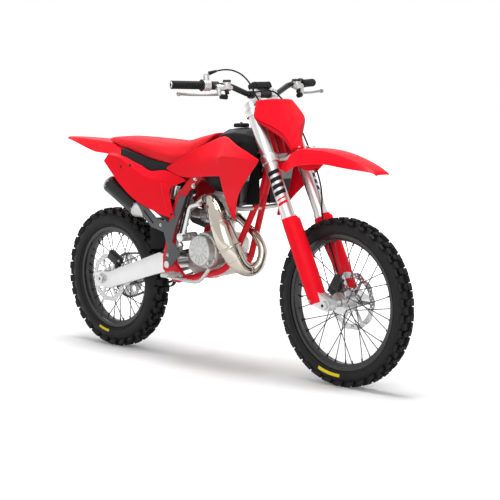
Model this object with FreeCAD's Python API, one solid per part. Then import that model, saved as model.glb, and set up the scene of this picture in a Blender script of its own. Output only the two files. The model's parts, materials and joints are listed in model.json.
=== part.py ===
import FreeCAD, Part
import math
import os

# A motocross bike for a young rider, standing level on both tyres with its steering straight.
# Sizes are in millimetres. X runs forward, Y to the rider's left and Z up.
# Places are counted from the ground under the rear axle, and "place" moves them to the
# part's own origin, at the low point of the seat where the rider sits.
# Steering parts are counted from the steering axis instead: ahead of it, to the side,
# and along it from the level of the front axle. "steer" turns those into places.

# Whole machine
wheelbase = 1290.0
seat_height = 874.0
rider_reach = 452.0
rake = 25.0
axle_offset = 72.0
leg_offset = 22.0
leg_half_spacing = 88.0

# Gaps
fit_gap = 0.3
shaft_gap = 0.05
bolt_gap = 3.0

# Front wheel
front_tyre_radius = 312.0
front_tyre_half_width = 38.0
front_bead_radius = 241.0
front_rim_half_width = 23.0
front_hub_flange_radius = 40.0
front_hub_half_width = 30.0
front_disc_radius = 110.0
front_disc_side = 42.0

# Rear wheel
rear_tyre_radius = 294.0
rear_tyre_half_width = 45.0
rear_bead_radius = 203.0
rear_rim_half_width = 28.0
rear_hub_flange_radius = 46.0
rear_hub_half_width = 40.0
rear_disc_radius = 104.0
rear_disc_side = 50.0

# Rims, spokes and tyres of both wheels
rim_flange_height = 11.0
rim_flange_thickness = 3.0
rim_well_depth = 11.0
rim_well_half_width = 10.0
rim_wall = 3.0
rim_slope_width = 5.0
spoke_radius = 1.7
spoke_hub_spread = 3.0
spoke_count_per_set = 8
spoke_rim_spread = 6.0
hub_flange_thickness = 5.0
hub_barrel_radius = 21.0
disc_thickness = 3.5
disc_ring_width = 24.0
disc_wave = 3.0
disc_boss_radius = 32.0
disc_arm_width = 12.0

# Axles
axle_radius = 10.0
axle_bore = 6.0
axle_collar_radius = 14.5
axle_nut_radius = 17.0
axle_nut_length = 12.0

# Fork
outer_tube_radius = 26.0
outer_tube_low = 338.0
outer_tube_high = 821.0
inner_tube_radius = 21.5
inner_tube_low = 55.0
inner_tube_high = 470.0
lug_radius = 24.0
lug_half_width = 20.0
lower_clamp_low = 577.0
lower_clamp_height = 31.0
upper_clamp_low = 768.0
upper_clamp_height = 28.0
clamp_ring_radius = 32.0
stem_radius = 15.0
stem_boss_radius = 22.0
guard_radius = 33.0
guard_wall = 3.0
guard_low = 42.0
guard_high = 345.0

# Handlebar
bar_radius = 11.0
bar_centre_radius = 14.3
bar_ahead = 13.0
bar_height = 860.0
bar_clamp_half_spacing = 45.0
bar_rise_side = 158.0
bar_rise = 38.0
bar_end_side = 378.0
bar_end_sweep = 70.0
bar_end_rise = 78.0
grip_radius = 15.5
grip_length = 125.0
pad_half_length = 48.0
pad_depth = 38.0
pad_height = 26.0

# Frame
head_low = 612.0
head_high = 764.0
head_radius = 28.0
backbone_radius = 19.0
downtube_radius = 17.0
cradle_radius = 12.5
cradle_half_width = 56.0
spar_inside = 92.0
spar_outside = 110.0
pivot_reach = 438.0
pivot_rise = 97.0
pivot_height = rear_tyre_radius + pivot_rise
pivot_radius = 20.0
pivot_bolt_radius = 8.0
subframe_radius = 9.0

# Swingarm
arm_inside = 70.0
arm_outside = 95.0
arm_end_height = 64.0
arm_front_height = 84.0
arm_overhang = 46.0

# Chain and sprockets
chain_side = 59.5
chain_half_width = 8.0
chain_half_height = 5.8
chain_gap = 0.6
chain_tip_gap = 0.9
chain_pitch = 12.7
chain_waist = 1.6
sprocket_half_thickness = 2.6
front_pitch_radius = 28.5
rear_pitch_radius = 93.0
front_sprocket_reach = 497.0
front_sprocket_height = 402.0
rear_sprocket_teeth = 46
front_sprocket_teeth = 14

# Engine
crank_reach = 640.0
crank_height = 462.0
case_half_width = 40.0
case_wide_half_width = 62.0
clutch_radius = 68.0
clutch_outside = 128.0
flywheel_radius = 56.0
flywheel_outside = 90.0
cylinder_radius = 50.0
cylinder_low = 524.0
cylinder_high = 690.0
port_rise = 66.0
port_height = cylinder_low + port_rise

# Exhaust
silencer_radius = 36.0
silencer_side = 88.0
silencer_back = 60.0
silencer_back_height = 697.0
silencer_front = 264.0
silencer_drop = 68.0    # from the lower rail's bend down to the silencer's front end

# Bodywork
panel_thickness = 3.0
boss_radius = 6.0
body_half_width = 200.0
shroud_back = 458.0
shroud_low = 595.0
shroud_length = 588.0
shroud_height = 321.0
panel_back = 56.0
panel_low = 576.0
panel_length = 502.0
panel_height = 251.0
guard_plate_back = 265.0
guard_plate_low = 386.0
guard_plate_length = 294.0
guard_plate_height = 285.0
guard_plate_thickness = 4.5
fender_thickness = 4.0
rear_fender_tip = 294.0
rear_fender_length = 444.0
rear_fender_height = 881.0
rear_fender_depth = 70.0
rear_fender_half_width = 104.0
front_fender_tip = 1473.0
front_fender_length = 480.0
front_fender_top = 873.0
front_fender_depth = 130.0
front_fender_half_width = 76.0
plate_low = 598.0
plate_high = 816.0
plate_half_width = 135.0
plate_depth = 44.0
seat_back = 30.0
seat_length = 643.0
seat_rise = 47.0
seat_depth = 129.0
seat_half_width = 106.0
tank_back = 560.0
tank_length = 314.0
tank_low = 690.0
tank_height = 250.0
tank_half_width = 90.0
cap_radius = 30.0
cap_height = 16.0
radiator_thickness = 30.0
radiator_inside = 62.0
radiator_outside = 138.0
radiator_low = 648.0
radiator_high = 800.0


def place(x, y, z):
    """Ground measurements to the part's own frame."""
    return FreeCAD.Vector(x - rider_reach, y, z - seat_height)


def steer(ahead, side, up):
    """Measurements from the steering axis to the part's own frame."""
    turn = math.radians(rake)
    forward = ahead - axle_offset
    x = wheelbase + forward * math.cos(turn) - up * math.sin(turn)
    z = front_tyre_radius + forward * math.sin(turn) + up * math.cos(turn)
    return place(x, side, z)


def steer_direction():
    turn = math.radians(rake)
    return FreeCAD.Vector(-math.sin(turn), 0, math.cos(turn))


across = FreeCAD.Vector(0, 1, 0)
rear_axle_point = place(0, 0, rear_tyre_radius)
front_axle_point = place(wheelbase, 0, front_tyre_radius)


# Shape helpers

def rod(start, end, radius, bore=0):
    along = end - start
    solid = Part.makeCylinder(radius, along.Length, start, along)
    if bore:
        solid = solid.cut(Part.makeCylinder(bore, along.Length, start, along))
    return solid


def side_rod(x, z, low, high, radius, bore=0):
    return rod(place(x, low, z), place(x, high, z), radius, bore)


def bent_path(points, bend_share=0.4):
    """Straight runs joined by tangent arcs."""
    edges = []
    start = points[0]
    for before, corner, after in zip(points, points[1:], points[2:]):
        back = before - corner
        onward = after - corner
        reach = bend_share * min(back.Length, onward.Length)
        back.normalize()
        onward.normalize()
        half_turn = back.getAngle(onward) / 2
        middle = back + onward
        middle.normalize()
        radius = reach * math.tan(half_turn)
        arc_start = corner + back * reach
        arc_end = corner + onward * reach
        arc_middle = corner + middle * (radius / math.sin(half_turn) - radius)
        edges.append(Part.LineSegment(start, arc_start).toShape())
        edges.append(Part.Arc(arc_start, arc_middle, arc_end).toShape())
        start = arc_end
    edges.append(Part.LineSegment(start, points[-1]).toShape())
    return Part.Wire(edges)


def tube(points, radius, bend_share=0.4):
    path = bent_path(points, bend_share)
    circle = Part.makeCircle(radius, points[0], points[1] - points[0])
    return path.makePipeShell([Part.Wire([circle])], True, False)


def funnel(stations):
    """Welded cone segments through round sections."""
    rings = []
    for index, (point, radius) in enumerate(stations):
        before = stations[max(index - 1, 0)][0]
        after = stations[min(index + 1, len(stations) - 1)][0]
        rings.append(Part.Wire([Part.makeCircle(radius, point, after - before)]))
    solid = Part.makeLoft(rings[:2], True, True)
    for before, after in zip(rings[1:], rings[2:]):
        solid = solid.fuse(Part.makeLoft([before, after], True, True))
    return solid


def polygon_face(corners):
    return Part.Face(Part.makePolygon(corners + corners[:1]))


def slab(outline, low, high):
    """An outline seen from the side, as thick as from low to high across the machine."""
    face = polygon_face([place(x, low, z) for x, z in outline])
    return face.extrude(across * (high - low))


def steer_slab(outline, low, high):
    """An outline seen along the steering axis."""
    face = polygon_face([steer(ahead, side, low) for ahead, side in outline])
    return face.extrude(steer_direction() * (high - low))


def spread(shares, back, low, length, height):
    return [(back + length * along, low + height * up) for along, up in shares]


def loft(sections):
    return Part.makeLoft([Part.makePolygon(ring + ring[:1]) for ring in sections], True, True)


def mirrored(shape):
    return shape.mirror(FreeCAD.Vector(0, 0, 0), across)


def pair(shape):
    return Part.makeCompound([shape, mirrored(shape)])


def turned(profile, centre):
    """A ring about a wheel axle. Each point of the profile is (side, radius)."""
    face = polygon_face([centre + FreeCAD.Vector(0, side, radius) for side, radius in profile])
    return face.revolve(centre, across, 360)


def around(centre, side, radius, angle):
    turn = math.radians(angle)
    return centre + FreeCAD.Vector(radius * math.cos(turn), side, radius * math.sin(turn))


# Wheels

tread_depth = 13.0
front_tread_pitches = 34
rear_tread_pitches = 30
middle_lug_side_share = 0.36
shoulder_lug_side_share = 0.58
shoulder_foot_shares = (0.93, 0.66)
shoulder_tip_shares = (1.00, 0.84)
widest_shares = (0.98, 0.40)
middle_lug_shares = (0.05, 0.46)
shoulder_lug_shares = (0.54, 0.95)


def tyre_points(side, tip_radius, half_width, bead_radius, rim_half_width):
    """One half of the tyre's section by name, each point as (side, radius)."""
    height = tip_radius - bead_radius
    middle = side * half_width * middle_lug_side_share
    shoulder = side * half_width * shoulder_lug_side_share
    flange_top = bead_radius + rim_flange_height + fit_gap
    bead_side = side * (rim_half_width - rim_flange_thickness - fit_gap)

    def shared(shares):
        return side * half_width * shares[0], bead_radius + height * shares[1]

    return {
        "middle": (middle, tip_radius - tread_depth),
        "middle_tip": (middle, tip_radius),
        "shoulder": (shoulder, tip_radius - tread_depth - shaft_gap),
        "shoulder_tip": (shoulder, tip_radius - shaft_gap),
        "foot": shared(shoulder_foot_shares),
        "foot_tip": shared(shoulder_tip_shares),
        "widest": shared(widest_shares),
        "flange": (side * (rim_half_width + fit_gap), flange_top),
        "bead": (bead_side, flange_top),
        "heel": (bead_side, bead_radius + fit_gap),
    }


def tyre(centre, tip_radius, half_width, bead_radius, rim_half_width, pitches):
    """A knobbly tyre of flat facets, one to each pitch of its tread, with a facet on the ground."""
    half_turn = math.pi / pitches
    first, last = middle_lug_shares
    outer_first, outer_last = shoulder_lug_shares
    inner_edge = (0, first, last, 1)
    outer_edge = (0, outer_first, outer_last, 1)
    whole = (0, 1)
    faces = []
    sizes = (tip_radius, half_width, bead_radius, rim_half_width)
    right = tyre_points(-1, *sizes)
    left = tyre_points(1, *sizes)
    for number in range(pitches):
        turn = 2 * half_turn * number - math.pi / 2
        out = FreeCAD.Vector(math.cos(turn), 0, math.sin(turn))
        along = FreeCAD.Vector(-math.sin(turn), 0, math.cos(turn))

        def spot(share, point):
            side, radius = point
            reach = radius * math.tan(half_turn) * (2 * share - 1)
            return centre + out * radius + along * reach + across * side

        def patch(shares, start, end_shares, end):
            low = [spot(share, start) for share in shares]
            high = [spot(share, end) for share in reversed(end_shares)]
            faces.append(polygon_face(low + high))

        def flank(share, *points):
            faces.append(polygon_face([spot(share, point) for point in points]))

        patch((0, first), right["middle"], (0, first), left["middle"])
        patch((last, 1), right["middle"], (last, 1), left["middle"])
        patch(middle_lug_shares, right["middle_tip"], middle_lug_shares, left["middle_tip"])
        for share in middle_lug_shares:
            flank(share, right["middle"], left["middle"], left["middle_tip"], right["middle_tip"])
        for half in (right, left):
            patch(middle_lug_shares, half["middle"], middle_lug_shares, half["middle_tip"])
            patch(inner_edge, half["middle"], outer_edge, half["shoulder"])
            patch((0, outer_first), half["shoulder"], (0, outer_first), half["foot"])
            patch((outer_last, 1), half["shoulder"], (outer_last, 1), half["foot"])
            patch(shoulder_lug_shares, half["shoulder_tip"], shoulder_lug_shares, half["foot_tip"])
            patch(shoulder_lug_shares, half["shoulder"], shoulder_lug_shares, half["shoulder_tip"])
            patch(shoulder_lug_shares, half["foot"], shoulder_lug_shares, half["foot_tip"])
            for share in shoulder_lug_shares:
                flank(share, half["shoulder"], half["foot"], half["foot_tip"], half["shoulder_tip"])
            patch(outer_edge, half["foot"], whole, half["widest"])
            patch(whole, half["widest"], whole, half["flange"])
            patch(whole, half["flange"], whole, half["bead"])
            patch(whole, half["bead"], whole, half["heel"])
        patch(whole, right["heel"], whole, left["heel"])
    shell = Part.makeShell(faces)
    shell.sewShape()
    solid = Part.makeSolid(shell)
    if solid.Volume < 0:
        solid.reverse()
    return solid


def rim(centre, bead_radius, half_width):
    well = bead_radius - rim_well_depth
    shoulder = rim_well_half_width + rim_slope_width
    outside = [
        (0, well),
        (rim_well_half_width, well),
        (shoulder, bead_radius),
        (half_width - rim_flange_thickness, bead_radius),
        (half_width - rim_flange_thickness, bead_radius + rim_flange_height),
        (half_width, bead_radius + rim_flange_height),
        (half_width, bead_radius - rim_wall),
        (shoulder, bead_radius - rim_wall),
        (rim_well_half_width, well - rim_wall),
    ]
    outline = outside + [(-side, radius) for side, radius in reversed(outside[1:])]
    return turned(outline, centre)


def spokes(centre, bead_radius, flange_radius, hub_half_width):
    """Four sets of spokes laced three cross, between the hub's flanges and the rim's well."""
    rim_inside = bead_radius - rim_well_depth - rim_wall - fit_gap
    hub_outside = flange_radius + fit_gap
    flange_middle = hub_half_width - hub_flange_thickness / 2
    reach = rim_inside + rim_wall
    rows = []
    step = 360 / spoke_count_per_set
    cross = 1.5 * step
    sets = [(1, 1), (-1, 1), (1, -1), (-1, -1)]
    for number, (side, lean) in enumerate(sets):
        hub_side = side * (flange_middle + lean * spoke_hub_spread)
        rim_side = side * (spoke_rim_spread if lean > 0 else fit_gap)
        for count in range(spoke_count_per_set):
            angle = step * (count + number / len(sets))
            inner = around(centre, hub_side, flange_radius - hub_flange_thickness, angle - lean * cross)
            outer = around(centre, rim_side, reach, angle)
            rows.append(rod(inner, outer, spoke_radius))
    depth = hub_half_width * 2
    room = Part.makeCylinder(rim_inside, depth * 2, centre - across * depth, across)
    room = room.cut(Part.makeCylinder(hub_outside, depth * 2, centre - across * depth, across))
    return Part.makeCompound(rows).common(room)


def hub(centre, flange_radius, half_width, disc_end, other_end):
    """Barrel and two flanges, with a boss out to the brake disc and one to the other side."""
    flange = half_width - hub_flange_thickness
    low_boss = hub_barrel_radius + hub_flange_thickness
    outline = [
        (other_end, axle_radius + shaft_gap),
        (other_end, low_boss),
        (-half_width, low_boss),
        (-half_width, flange_radius),
        (-flange, flange_radius),
        (-flange, hub_barrel_radius),
        (flange, hub_barrel_radius),
        (flange, flange_radius),
        (half_width, flange_radius),
        (half_width, low_boss),
        (disc_end, low_boss),
        (disc_end, axle_radius + shaft_gap),
    ]
    return turned(outline, centre)


def wave_ring(centre, side, radius, wave, lobes, thickness):
    """A flat ring whose edge rises and falls evenly all round."""
    points = []
    count = lobes * 8
    for step in range(count):
        angle = 360 * step / count
        reach = radius + wave * math.cos(math.radians(angle * lobes))
        points.append(around(centre, side, reach, angle))
    curve = Part.BSplineCurve()
    curve.interpolate(Points=points, PeriodicFlag=True)
    face = Part.Face(Part.Wire([curve.toShape()]))
    return face.extrude(across * thickness)


def brake_disc(centre, side, radius, lobes):
    hole_radius = radius - disc_ring_width
    outer = wave_ring(centre, side, radius - disc_wave, disc_wave, lobes, disc_thickness)
    start = centre + across * side
    outer = outer.cut(Part.makeCylinder(hole_radius, disc_thickness, start, across))
    inner = Part.makeCylinder(disc_boss_radius, disc_thickness, start, across)
    disc = outer.fuse(inner)
    for number in range(6):
        angle = 60 * number
        reach = FreeCAD.Vector(math.cos(math.radians(angle)), 0, math.sin(math.radians(angle)))
        width = across.cross(reach) * (disc_arm_width / 2)
        low = start + reach * (disc_boss_radius / 2)
        high = start + reach * (hole_radius + disc_wave)
        arm = polygon_face([low - width, low + width, high + width, high - width])
        disc = disc.fuse(arm.extrude(across * disc_thickness))
    bore = hub_barrel_radius + hub_flange_thickness + fit_gap
    disc = disc.cut(Part.makeCylinder(bore, disc_thickness, start, across))
    return disc.removeSplitter()


def sprocket(centre, pitch_radius, teeth, bore):
    points = []
    tip = pitch_radius - chain_tip_gap
    root = tip - chain_half_height
    low = chain_side - sprocket_half_thickness
    for tooth in range(teeth):
        angle = 360 * tooth / teeth
        quarter = 90 / teeth
        points.append(around(centre, low, root, angle - quarter))
        points.append(around(centre, low, tip, angle))
        points.append(around(centre, low, root, angle + quarter))
    solid = polygon_face(points).extrude(across * (2 * sprocket_half_thickness))
    return solid.cut(Part.makeCylinder(bore, 2 * sprocket_half_thickness, centre + across * low, across))


# Fork, clamps and bar

def fork_leg_rod(low, high, radius, bore=0):
    start = steer(leg_offset, leg_half_spacing, low)
    end = steer(leg_offset, leg_half_spacing, high)
    return rod(start, end, radius, bore)


def outer_tubes():
    bore = inner_tube_radius + fit_gap
    solid = fork_leg_rod(outer_tube_low, outer_tube_high, outer_tube_radius)
    solid = solid.cut(fork_leg_rod(outer_tube_low, inner_tube_high + fit_gap, bore))
    collar_top = outer_tube_low + outer_tube_radius
    collar = fork_leg_rod(outer_tube_low, collar_top, outer_tube_radius + rim_wall, outer_tube_radius)
    return pair(solid.fuse(collar).removeSplitter())


def lug_outline():
    """The axle lug from the side: a round nose about the axle, drawn back to the leg."""
    points = []
    for angle in range(-100, 61, 20):
        turn = math.radians(angle)
        points.append((axle_offset + lug_radius * math.cos(turn), lug_radius * math.sin(turn)))
    points.append((leg_offset + inner_tube_radius, inner_tube_low + lug_radius))
    points.append((leg_offset - inner_tube_radius, inner_tube_low + lug_radius))
    points.append((leg_offset - inner_tube_radius, inner_tube_low - lug_radius))
    return points


def lower_legs():
    leg = fork_leg_rod(inner_tube_low, inner_tube_high, inner_tube_radius)
    low = leg_half_spacing - lug_half_width
    face = polygon_face([steer(ahead, low, up) for ahead, up in lug_outline()])
    lug = face.extrude(across * (2 * lug_half_width))
    solid = leg.fuse(lug)
    bore = side_rod(wheelbase, front_tyre_radius, 0, leg_half_spacing * 2, axle_radius + shaft_gap)
    return pair(solid.cut(bore).removeSplitter())


def clamp_plate(low, height, front, back):
    """One fork clamp: a ring about each leg and a bridge through the steering stem."""
    reach = leg_half_spacing
    bridge = [
        (front, -reach), (front, reach),
        (leg_offset - clamp_ring_radius / 2, reach),
        (back / 2, reach / 2), (back, stem_radius), (back, -stem_radius), (back / 2, -reach / 2),
        (leg_offset - clamp_ring_radius / 2, -reach),
    ]
    solid = steer_slab(bridge, low, low + height)
    for side in (-reach, reach):
        ring = rod(steer(leg_offset, side, low), steer(leg_offset, side, low + height), clamp_ring_radius)
        solid = solid.fuse(ring)
    for side in (-reach, reach):
        room = outer_tube_radius + shaft_gap
        solid = solid.cut(rod(steer(leg_offset, side, low), steer(leg_offset, side, low + height), room))
    return solid


def fork_clamps():
    front = leg_offset + clamp_ring_radius / 2
    lower = clamp_plate(lower_clamp_low, lower_clamp_height, front, -stem_boss_radius)
    stem_top = upper_clamp_low + upper_clamp_height + rim_wall
    stem = rod(steer(0, 0, lower_clamp_low), steer(0, 0, stem_top), stem_radius)
    lower = lower.fuse(stem).removeSplitter()
    upper = clamp_plate(upper_clamp_low, upper_clamp_height, front, -stem_boss_radius)
    top = upper_clamp_low + upper_clamp_height
    upper = upper.cut(rod(steer(0, 0, upper_clamp_low), steer(0, 0, top), stem_radius + shaft_gap))
    riser_half = bar_centre_radius
    for side in (-bar_clamp_half_spacing, bar_clamp_half_spacing):
        outline = [
            (bar_ahead - riser_half, side - riser_half), (bar_ahead + riser_half, side - riser_half),
            (bar_ahead + riser_half, side + riser_half), (bar_ahead - riser_half, side + riser_half),
        ]
        upper = upper.fuse(steer_slab(outline, top, bar_height))
        ring_radius = bar_centre_radius + riser_half / 2
        start = steer(bar_ahead, side - riser_half, bar_height)
        upper = upper.fuse(Part.makeCylinder(ring_radius, 2 * riser_half, start, across))
    bar_room = bar_centre_radius + shaft_gap
    start = steer(bar_ahead, -2 * bar_clamp_half_spacing, bar_height)
    upper = upper.cut(Part.makeCylinder(bar_room, 4 * bar_clamp_half_spacing, start, across))
    return Part.makeCompound([lower, upper.removeSplitter()])


def fork_guards():
    """A half shell down the front and outside of each lower leg, open behind."""
    shell = fork_leg_rod(guard_low, guard_high, guard_radius, guard_radius - guard_wall)
    back = leg_offset - guard_radius / 3
    outline = [
        (back, leg_half_spacing - guard_radius / 2),
        (back + 2 * guard_radius, leg_half_spacing - guard_radius / 2),
        (back + 2 * guard_radius, leg_half_spacing + 2 * guard_radius),
        (back, leg_half_spacing + 2 * guard_radius),
    ]
    keep = steer_slab(outline, guard_low, guard_high)
    shell = shell.common(keep)
    lug_room = lug_half_width + fit_gap
    nose = polygon_face([steer(ahead, leg_half_spacing - lug_room, up) for ahead, up in grown_lug()])
    return pair(shell.cut(nose.extrude(across * (2 * lug_room))))


def grown_lug():
    middle_ahead = (leg_offset + axle_offset) / 2
    middle_up = inner_tube_low / 2
    grown = []
    for ahead, up in lug_outline():
        reach = math.hypot(ahead - middle_ahead, up - middle_up)
        scale = 1 + fit_gap / reach
        grown.append((middle_ahead + (ahead - middle_ahead) * scale, middle_up + (up - middle_up) * scale))
    return grown


def bar_points(side=1):
    return [
        steer(bar_ahead, -side * bar_clamp_half_spacing, bar_height),
        steer(bar_ahead, side * bar_clamp_half_spacing * 1.6, bar_height),
        steer(bar_ahead, side * bar_rise_side, bar_height + bar_rise),
        steer(bar_ahead - bar_end_sweep, side * bar_end_side, bar_height + bar_end_rise),
    ]


def bar_at(distance, side=1):
    """A point this far from the bar's end, along its straight outer run."""
    rise, end = bar_points(side)[2:]
    back = rise - end
    back.normalize()
    return end + back * distance


def handlebar():
    left = bar_points()
    right = bar_points(-1)
    route = list(reversed(left[1:])) + right[1:]
    solid = tube(route, bar_radius, 0.2)
    centre = rod(left[1], right[1], bar_centre_radius)
    inset = 2 * bar_radius
    for side in (1, -1):
        room = rod(bar_at(0, side), bar_at(inset, side), bar_radius / 2)
        solid = solid.cut(room)
    return solid.fuse(centre).removeSplitter()


def grips():
    rows = []
    for side in (1, -1):
        rows.append(rod(bar_at(0, side), bar_at(grip_length, side), grip_radius, bar_radius + shaft_gap))
    return Part.makeCompound(rows)


def bar_pad():
    low = bar_height + bar_centre_radius * 1.5 + fit_gap
    back = bar_ahead - pad_depth / 2
    outline = [
        (back, -pad_half_length), (back + pad_depth, -pad_half_length),
        (back + pad_depth, pad_half_length), (back, pad_half_length),
    ]
    return steer_slab(outline, low, low + pad_height)


perch_from_end = 160.0
perch_length = 28.0
perch_radius = 16.0
master_length = 58.0
master_radius = 12.0
master_ahead = 27.0
master_drop = 8.0
cup_radius = 15.0
cup_height = 30.0
lever_length = 165.0
lever_half_width = 7.0
lever_thickness = 7.0
lever_ahead = 32.0
lever_tip_ahead = 44.0
lever_drop = 30.0


def master_start(side):
    """The inner end of the cylinder that the lever works."""
    inner = bar_at(perch_from_end + perch_length + (master_length - perch_length), side)
    return inner + FreeCAD.Vector(master_ahead, 0, -master_drop)


def controls(side):
    """A perch clamped to the bar, the cylinder ahead of it with its cup, and the lever below."""
    outer = bar_at(perch_from_end, side)
    inner = bar_at(perch_from_end + perch_length, side)
    along = outer - inner
    along.normalize()
    solid = rod(outer, inner, perch_radius, bar_radius + shaft_gap)
    start = master_start(side)
    solid = solid.fuse(rod(start, start + along * master_length, master_radius))
    cup = start + along * cup_radius
    solid = solid.fuse(rod(cup, cup + FreeCAD.Vector(0, 0, cup_height), cup_radius))
    pivot = outer + along * (-lever_half_width) + FreeCAD.Vector(lever_ahead, 0, -lever_drop)
    down = FreeCAD.Vector(0, 0, -lever_thickness)
    post = rod(pivot + down, pivot + FreeCAD.Vector(0, 0, lever_drop - master_drop), lever_half_width)
    tip = bar_at(perch_from_end - lever_length, side) + FreeCAD.Vector(lever_tip_ahead, 0, -lever_drop)
    width = FreeCAD.Vector(lever_half_width, 0, 0)
    blade = polygon_face([pivot - width, pivot + width, tip + width, tip - width]).extrude(down)
    room = rod(bar_at(0, side), bar_at(perch_from_end + 2 * perch_length, side), bar_radius + shaft_gap)
    return solid.fuse(post).fuse(blade).cut(room).removeSplitter()


throttle_length = 30.0
throttle_radius = 21.0
tower_radius = 12.0
tower_height = 44.0


def throttle_housing():
    """The twistgrip's housing, with the tower that turns the cable inwards."""
    start = grip_length + fit_gap
    outer = bar_at(start, -1)
    inner = bar_at(start + throttle_length, -1)
    solid = rod(outer, inner, throttle_radius)
    middle = (outer + inner) * 0.5
    solid = solid.fuse(rod(middle, middle + FreeCAD.Vector(0, 0, tower_height), tower_radius))
    return solid.cut(rod(outer, inner, bar_radius + shaft_gap)).removeSplitter()


plate_outline_shares = [
    (-0.28, 0.00), (0.28, 0.00), (0.36, 0.22), (1.00, 0.62), (1.00, 0.72), (0.70, 1.00), (-0.70, 1.00),
    (-1.00, 0.72), (-1.00, 0.62), (-0.36, 0.22),
]
plate_ahead_low = 96.0
plate_ahead_high = 72.0
plate_stud_radius = 4.0


def number_plate():
    """A plate bowed forward in its middle, on a stud from the lower clamp."""
    sections = []
    for up, ahead in ((plate_low, plate_ahead_low), (plate_high, plate_ahead_high)):
        bow = [(-1, 0.55), (-0.5, 0.9), (0, 1), (0.5, 0.9), (1, 0.55)]
        front = [(ahead - plate_depth * (1 - deep), plate_half_width * wide) for wide, deep in bow]
        back = [(along - panel_thickness, side) for along, side in reversed(front)]
        sections.append([steer(along, side, up) for along, side in front + back])
    plate = loft(sections)
    height = plate_high - plate_low
    far = plate_ahead_low * 2
    corners = [
        steer(-far, plate_half_width * wide, plate_low + height * up) for wide, up in plate_outline_shares
    ]
    ahead = steer(1, 0, 0) - steer(0, 0, 0)
    window = polygon_face(corners).extrude(ahead * (far * 2))
    stud_up = plate_low + plate_stud_radius + fit_gap
    stud = rod(
        steer(leg_offset + clamp_ring_radius / 2 + fit_gap, 0, stud_up),
        steer(plate_ahead_low - panel_thickness / 2, 0, stud_up),
        plate_stud_radius,
    )
    return plate.common(window).fuse(stud).removeSplitter()


front_fender_shares = [
    (0.005, 0.56, 0.72, 0.12),
    (0.095, 0.62, 0.72, 0.30),
    (0.145, 0.88, 0.96, 0.62),
    (0.22, 1.00, 1.00, 0.50),
    (0.52, 1.00, 0.92, 0.38),
    (0.71, 0.81, 0.82, 0.34),
    (0.90, 0.62, 0.66, 0.25),
    (1.00, 0.40, 0.36, 0.10),
]


def fender_section(x, top, half_width, drop, thickness):
    """A shallow arch across the machine."""
    outer = [(-1, 1), (-0.75, 0.35), (-0.35, 0.05), (0, 0), (0.35, 0.05), (0.75, 0.35), (1, 1)]
    upper = [(half_width * wide, top - drop * down) for wide, down in outer]
    inside = half_width - thickness
    lower = [(inside * wide, top - thickness - (drop - thickness / 2) * down) for wide, down in outer]
    return [place(x, side, z) for side, z in upper + list(reversed(lower))]


def front_fender():
    sections = []
    low = front_fender_top - front_fender_depth
    back = front_fender_tip - front_fender_length
    for along, up, wide, deep in front_fender_shares:
        x = back + front_fender_length * along
        top = low + front_fender_depth * up
        half_width = front_fender_half_width * wide
        sections.append(fender_section(x, top, half_width, front_fender_depth * deep, fender_thickness))
    solid = loft(sections)
    for side in (-leg_half_spacing, leg_half_spacing):
        start = steer(leg_offset, side, outer_tube_low)
        end = steer(leg_offset, side, outer_tube_high)
        solid = solid.cut(rod(start, end, outer_tube_radius + bolt_gap))
        start = steer(leg_offset, side, lower_clamp_low - fit_gap)
        solid = solid.cut(rod(start, end, clamp_ring_radius + bolt_gap))
    reach = leg_half_spacing + clamp_ring_radius
    front = leg_offset + clamp_ring_radius / 2 + bolt_gap
    room = [(-reach, -reach), (front, -reach), (front, reach), (-reach, reach)]
    clamp_top = lower_clamp_low + lower_clamp_height + bolt_gap
    return solid.cut(steer_slab(room, lower_clamp_low - fit_gap, clamp_top))


def front_axle():
    outside = leg_half_spacing + lug_half_width + fit_gap
    solid = side_rod(wheelbase, front_tyre_radius, -outside, outside, axle_radius)
    inside = leg_half_spacing - lug_half_width - fit_gap
    right = -(front_hub_half_width + bolt_gap)
    left = front_disc_side + disc_thickness + bolt_gap
    solid = solid.fuse(side_rod(wheelbase, front_tyre_radius, -inside, right, axle_collar_radius))
    solid = solid.fuse(side_rod(wheelbase, front_tyre_radius, left, inside, axle_collar_radius))
    end = outside + axle_nut_length
    solid = solid.fuse(side_rod(wheelbase, front_tyre_radius, outside, end, axle_nut_radius))
    solid = solid.fuse(side_rod(wheelbase, front_tyre_radius, -end, -outside, axle_nut_radius))
    return solid.cut(side_rod(wheelbase, front_tyre_radius, -end, end, axle_bore)).removeSplitter()


caliper_reach = 96.0
caliper_half_length = 38.0
caliper_half_height = 20.0
caliper_half_width = 11.5
caliper_disc_gap = 0.8


def caliper(centre, disc_low, angle, arm_side):
    """A block astride the disc, with an arm out to what carries it."""
    middle = disc_low + disc_thickness / 2
    turn = math.radians(angle)
    out = FreeCAD.Vector(math.cos(turn), 0, math.sin(turn))
    along = across.cross(out)
    heart = centre + out * caliper_reach
    corners = []
    for first, second in ((-1, -1), (1, -1), (1, 1), (-1, 1)):
        shift = along * (caliper_half_length * first) + out * (caliper_half_height * second)
        corners.append(heart + shift)
    face = polygon_face([corner + across * (middle - caliper_half_width) for corner in corners])
    block = face.extrude(across * (2 * caliper_half_width))
    arm_corners = []
    for first, second in ((-0.8, -0.6), (0.8, -0.6), (0.8, 0.9), (-0.8, 0.9)):
        shift = along * (caliper_half_length * first) + out * (caliper_half_height * second)
        arm_corners.append(heart + shift)
    reach = arm_side - middle
    arm = polygon_face([corner + across * middle for corner in arm_corners]).extrude(across * reach)
    solid = block.fuse(arm)
    low = disc_low - caliper_disc_gap
    depth = disc_thickness + 2 * caliper_disc_gap
    room = caliper_reach + caliper_half_height * 0.7 + caliper_disc_gap
    return solid.cut(Part.makeCylinder(room, depth, centre + across * low, across)).removeSplitter()


hose_radius = 3.2
cable_radius = 3.0


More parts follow.
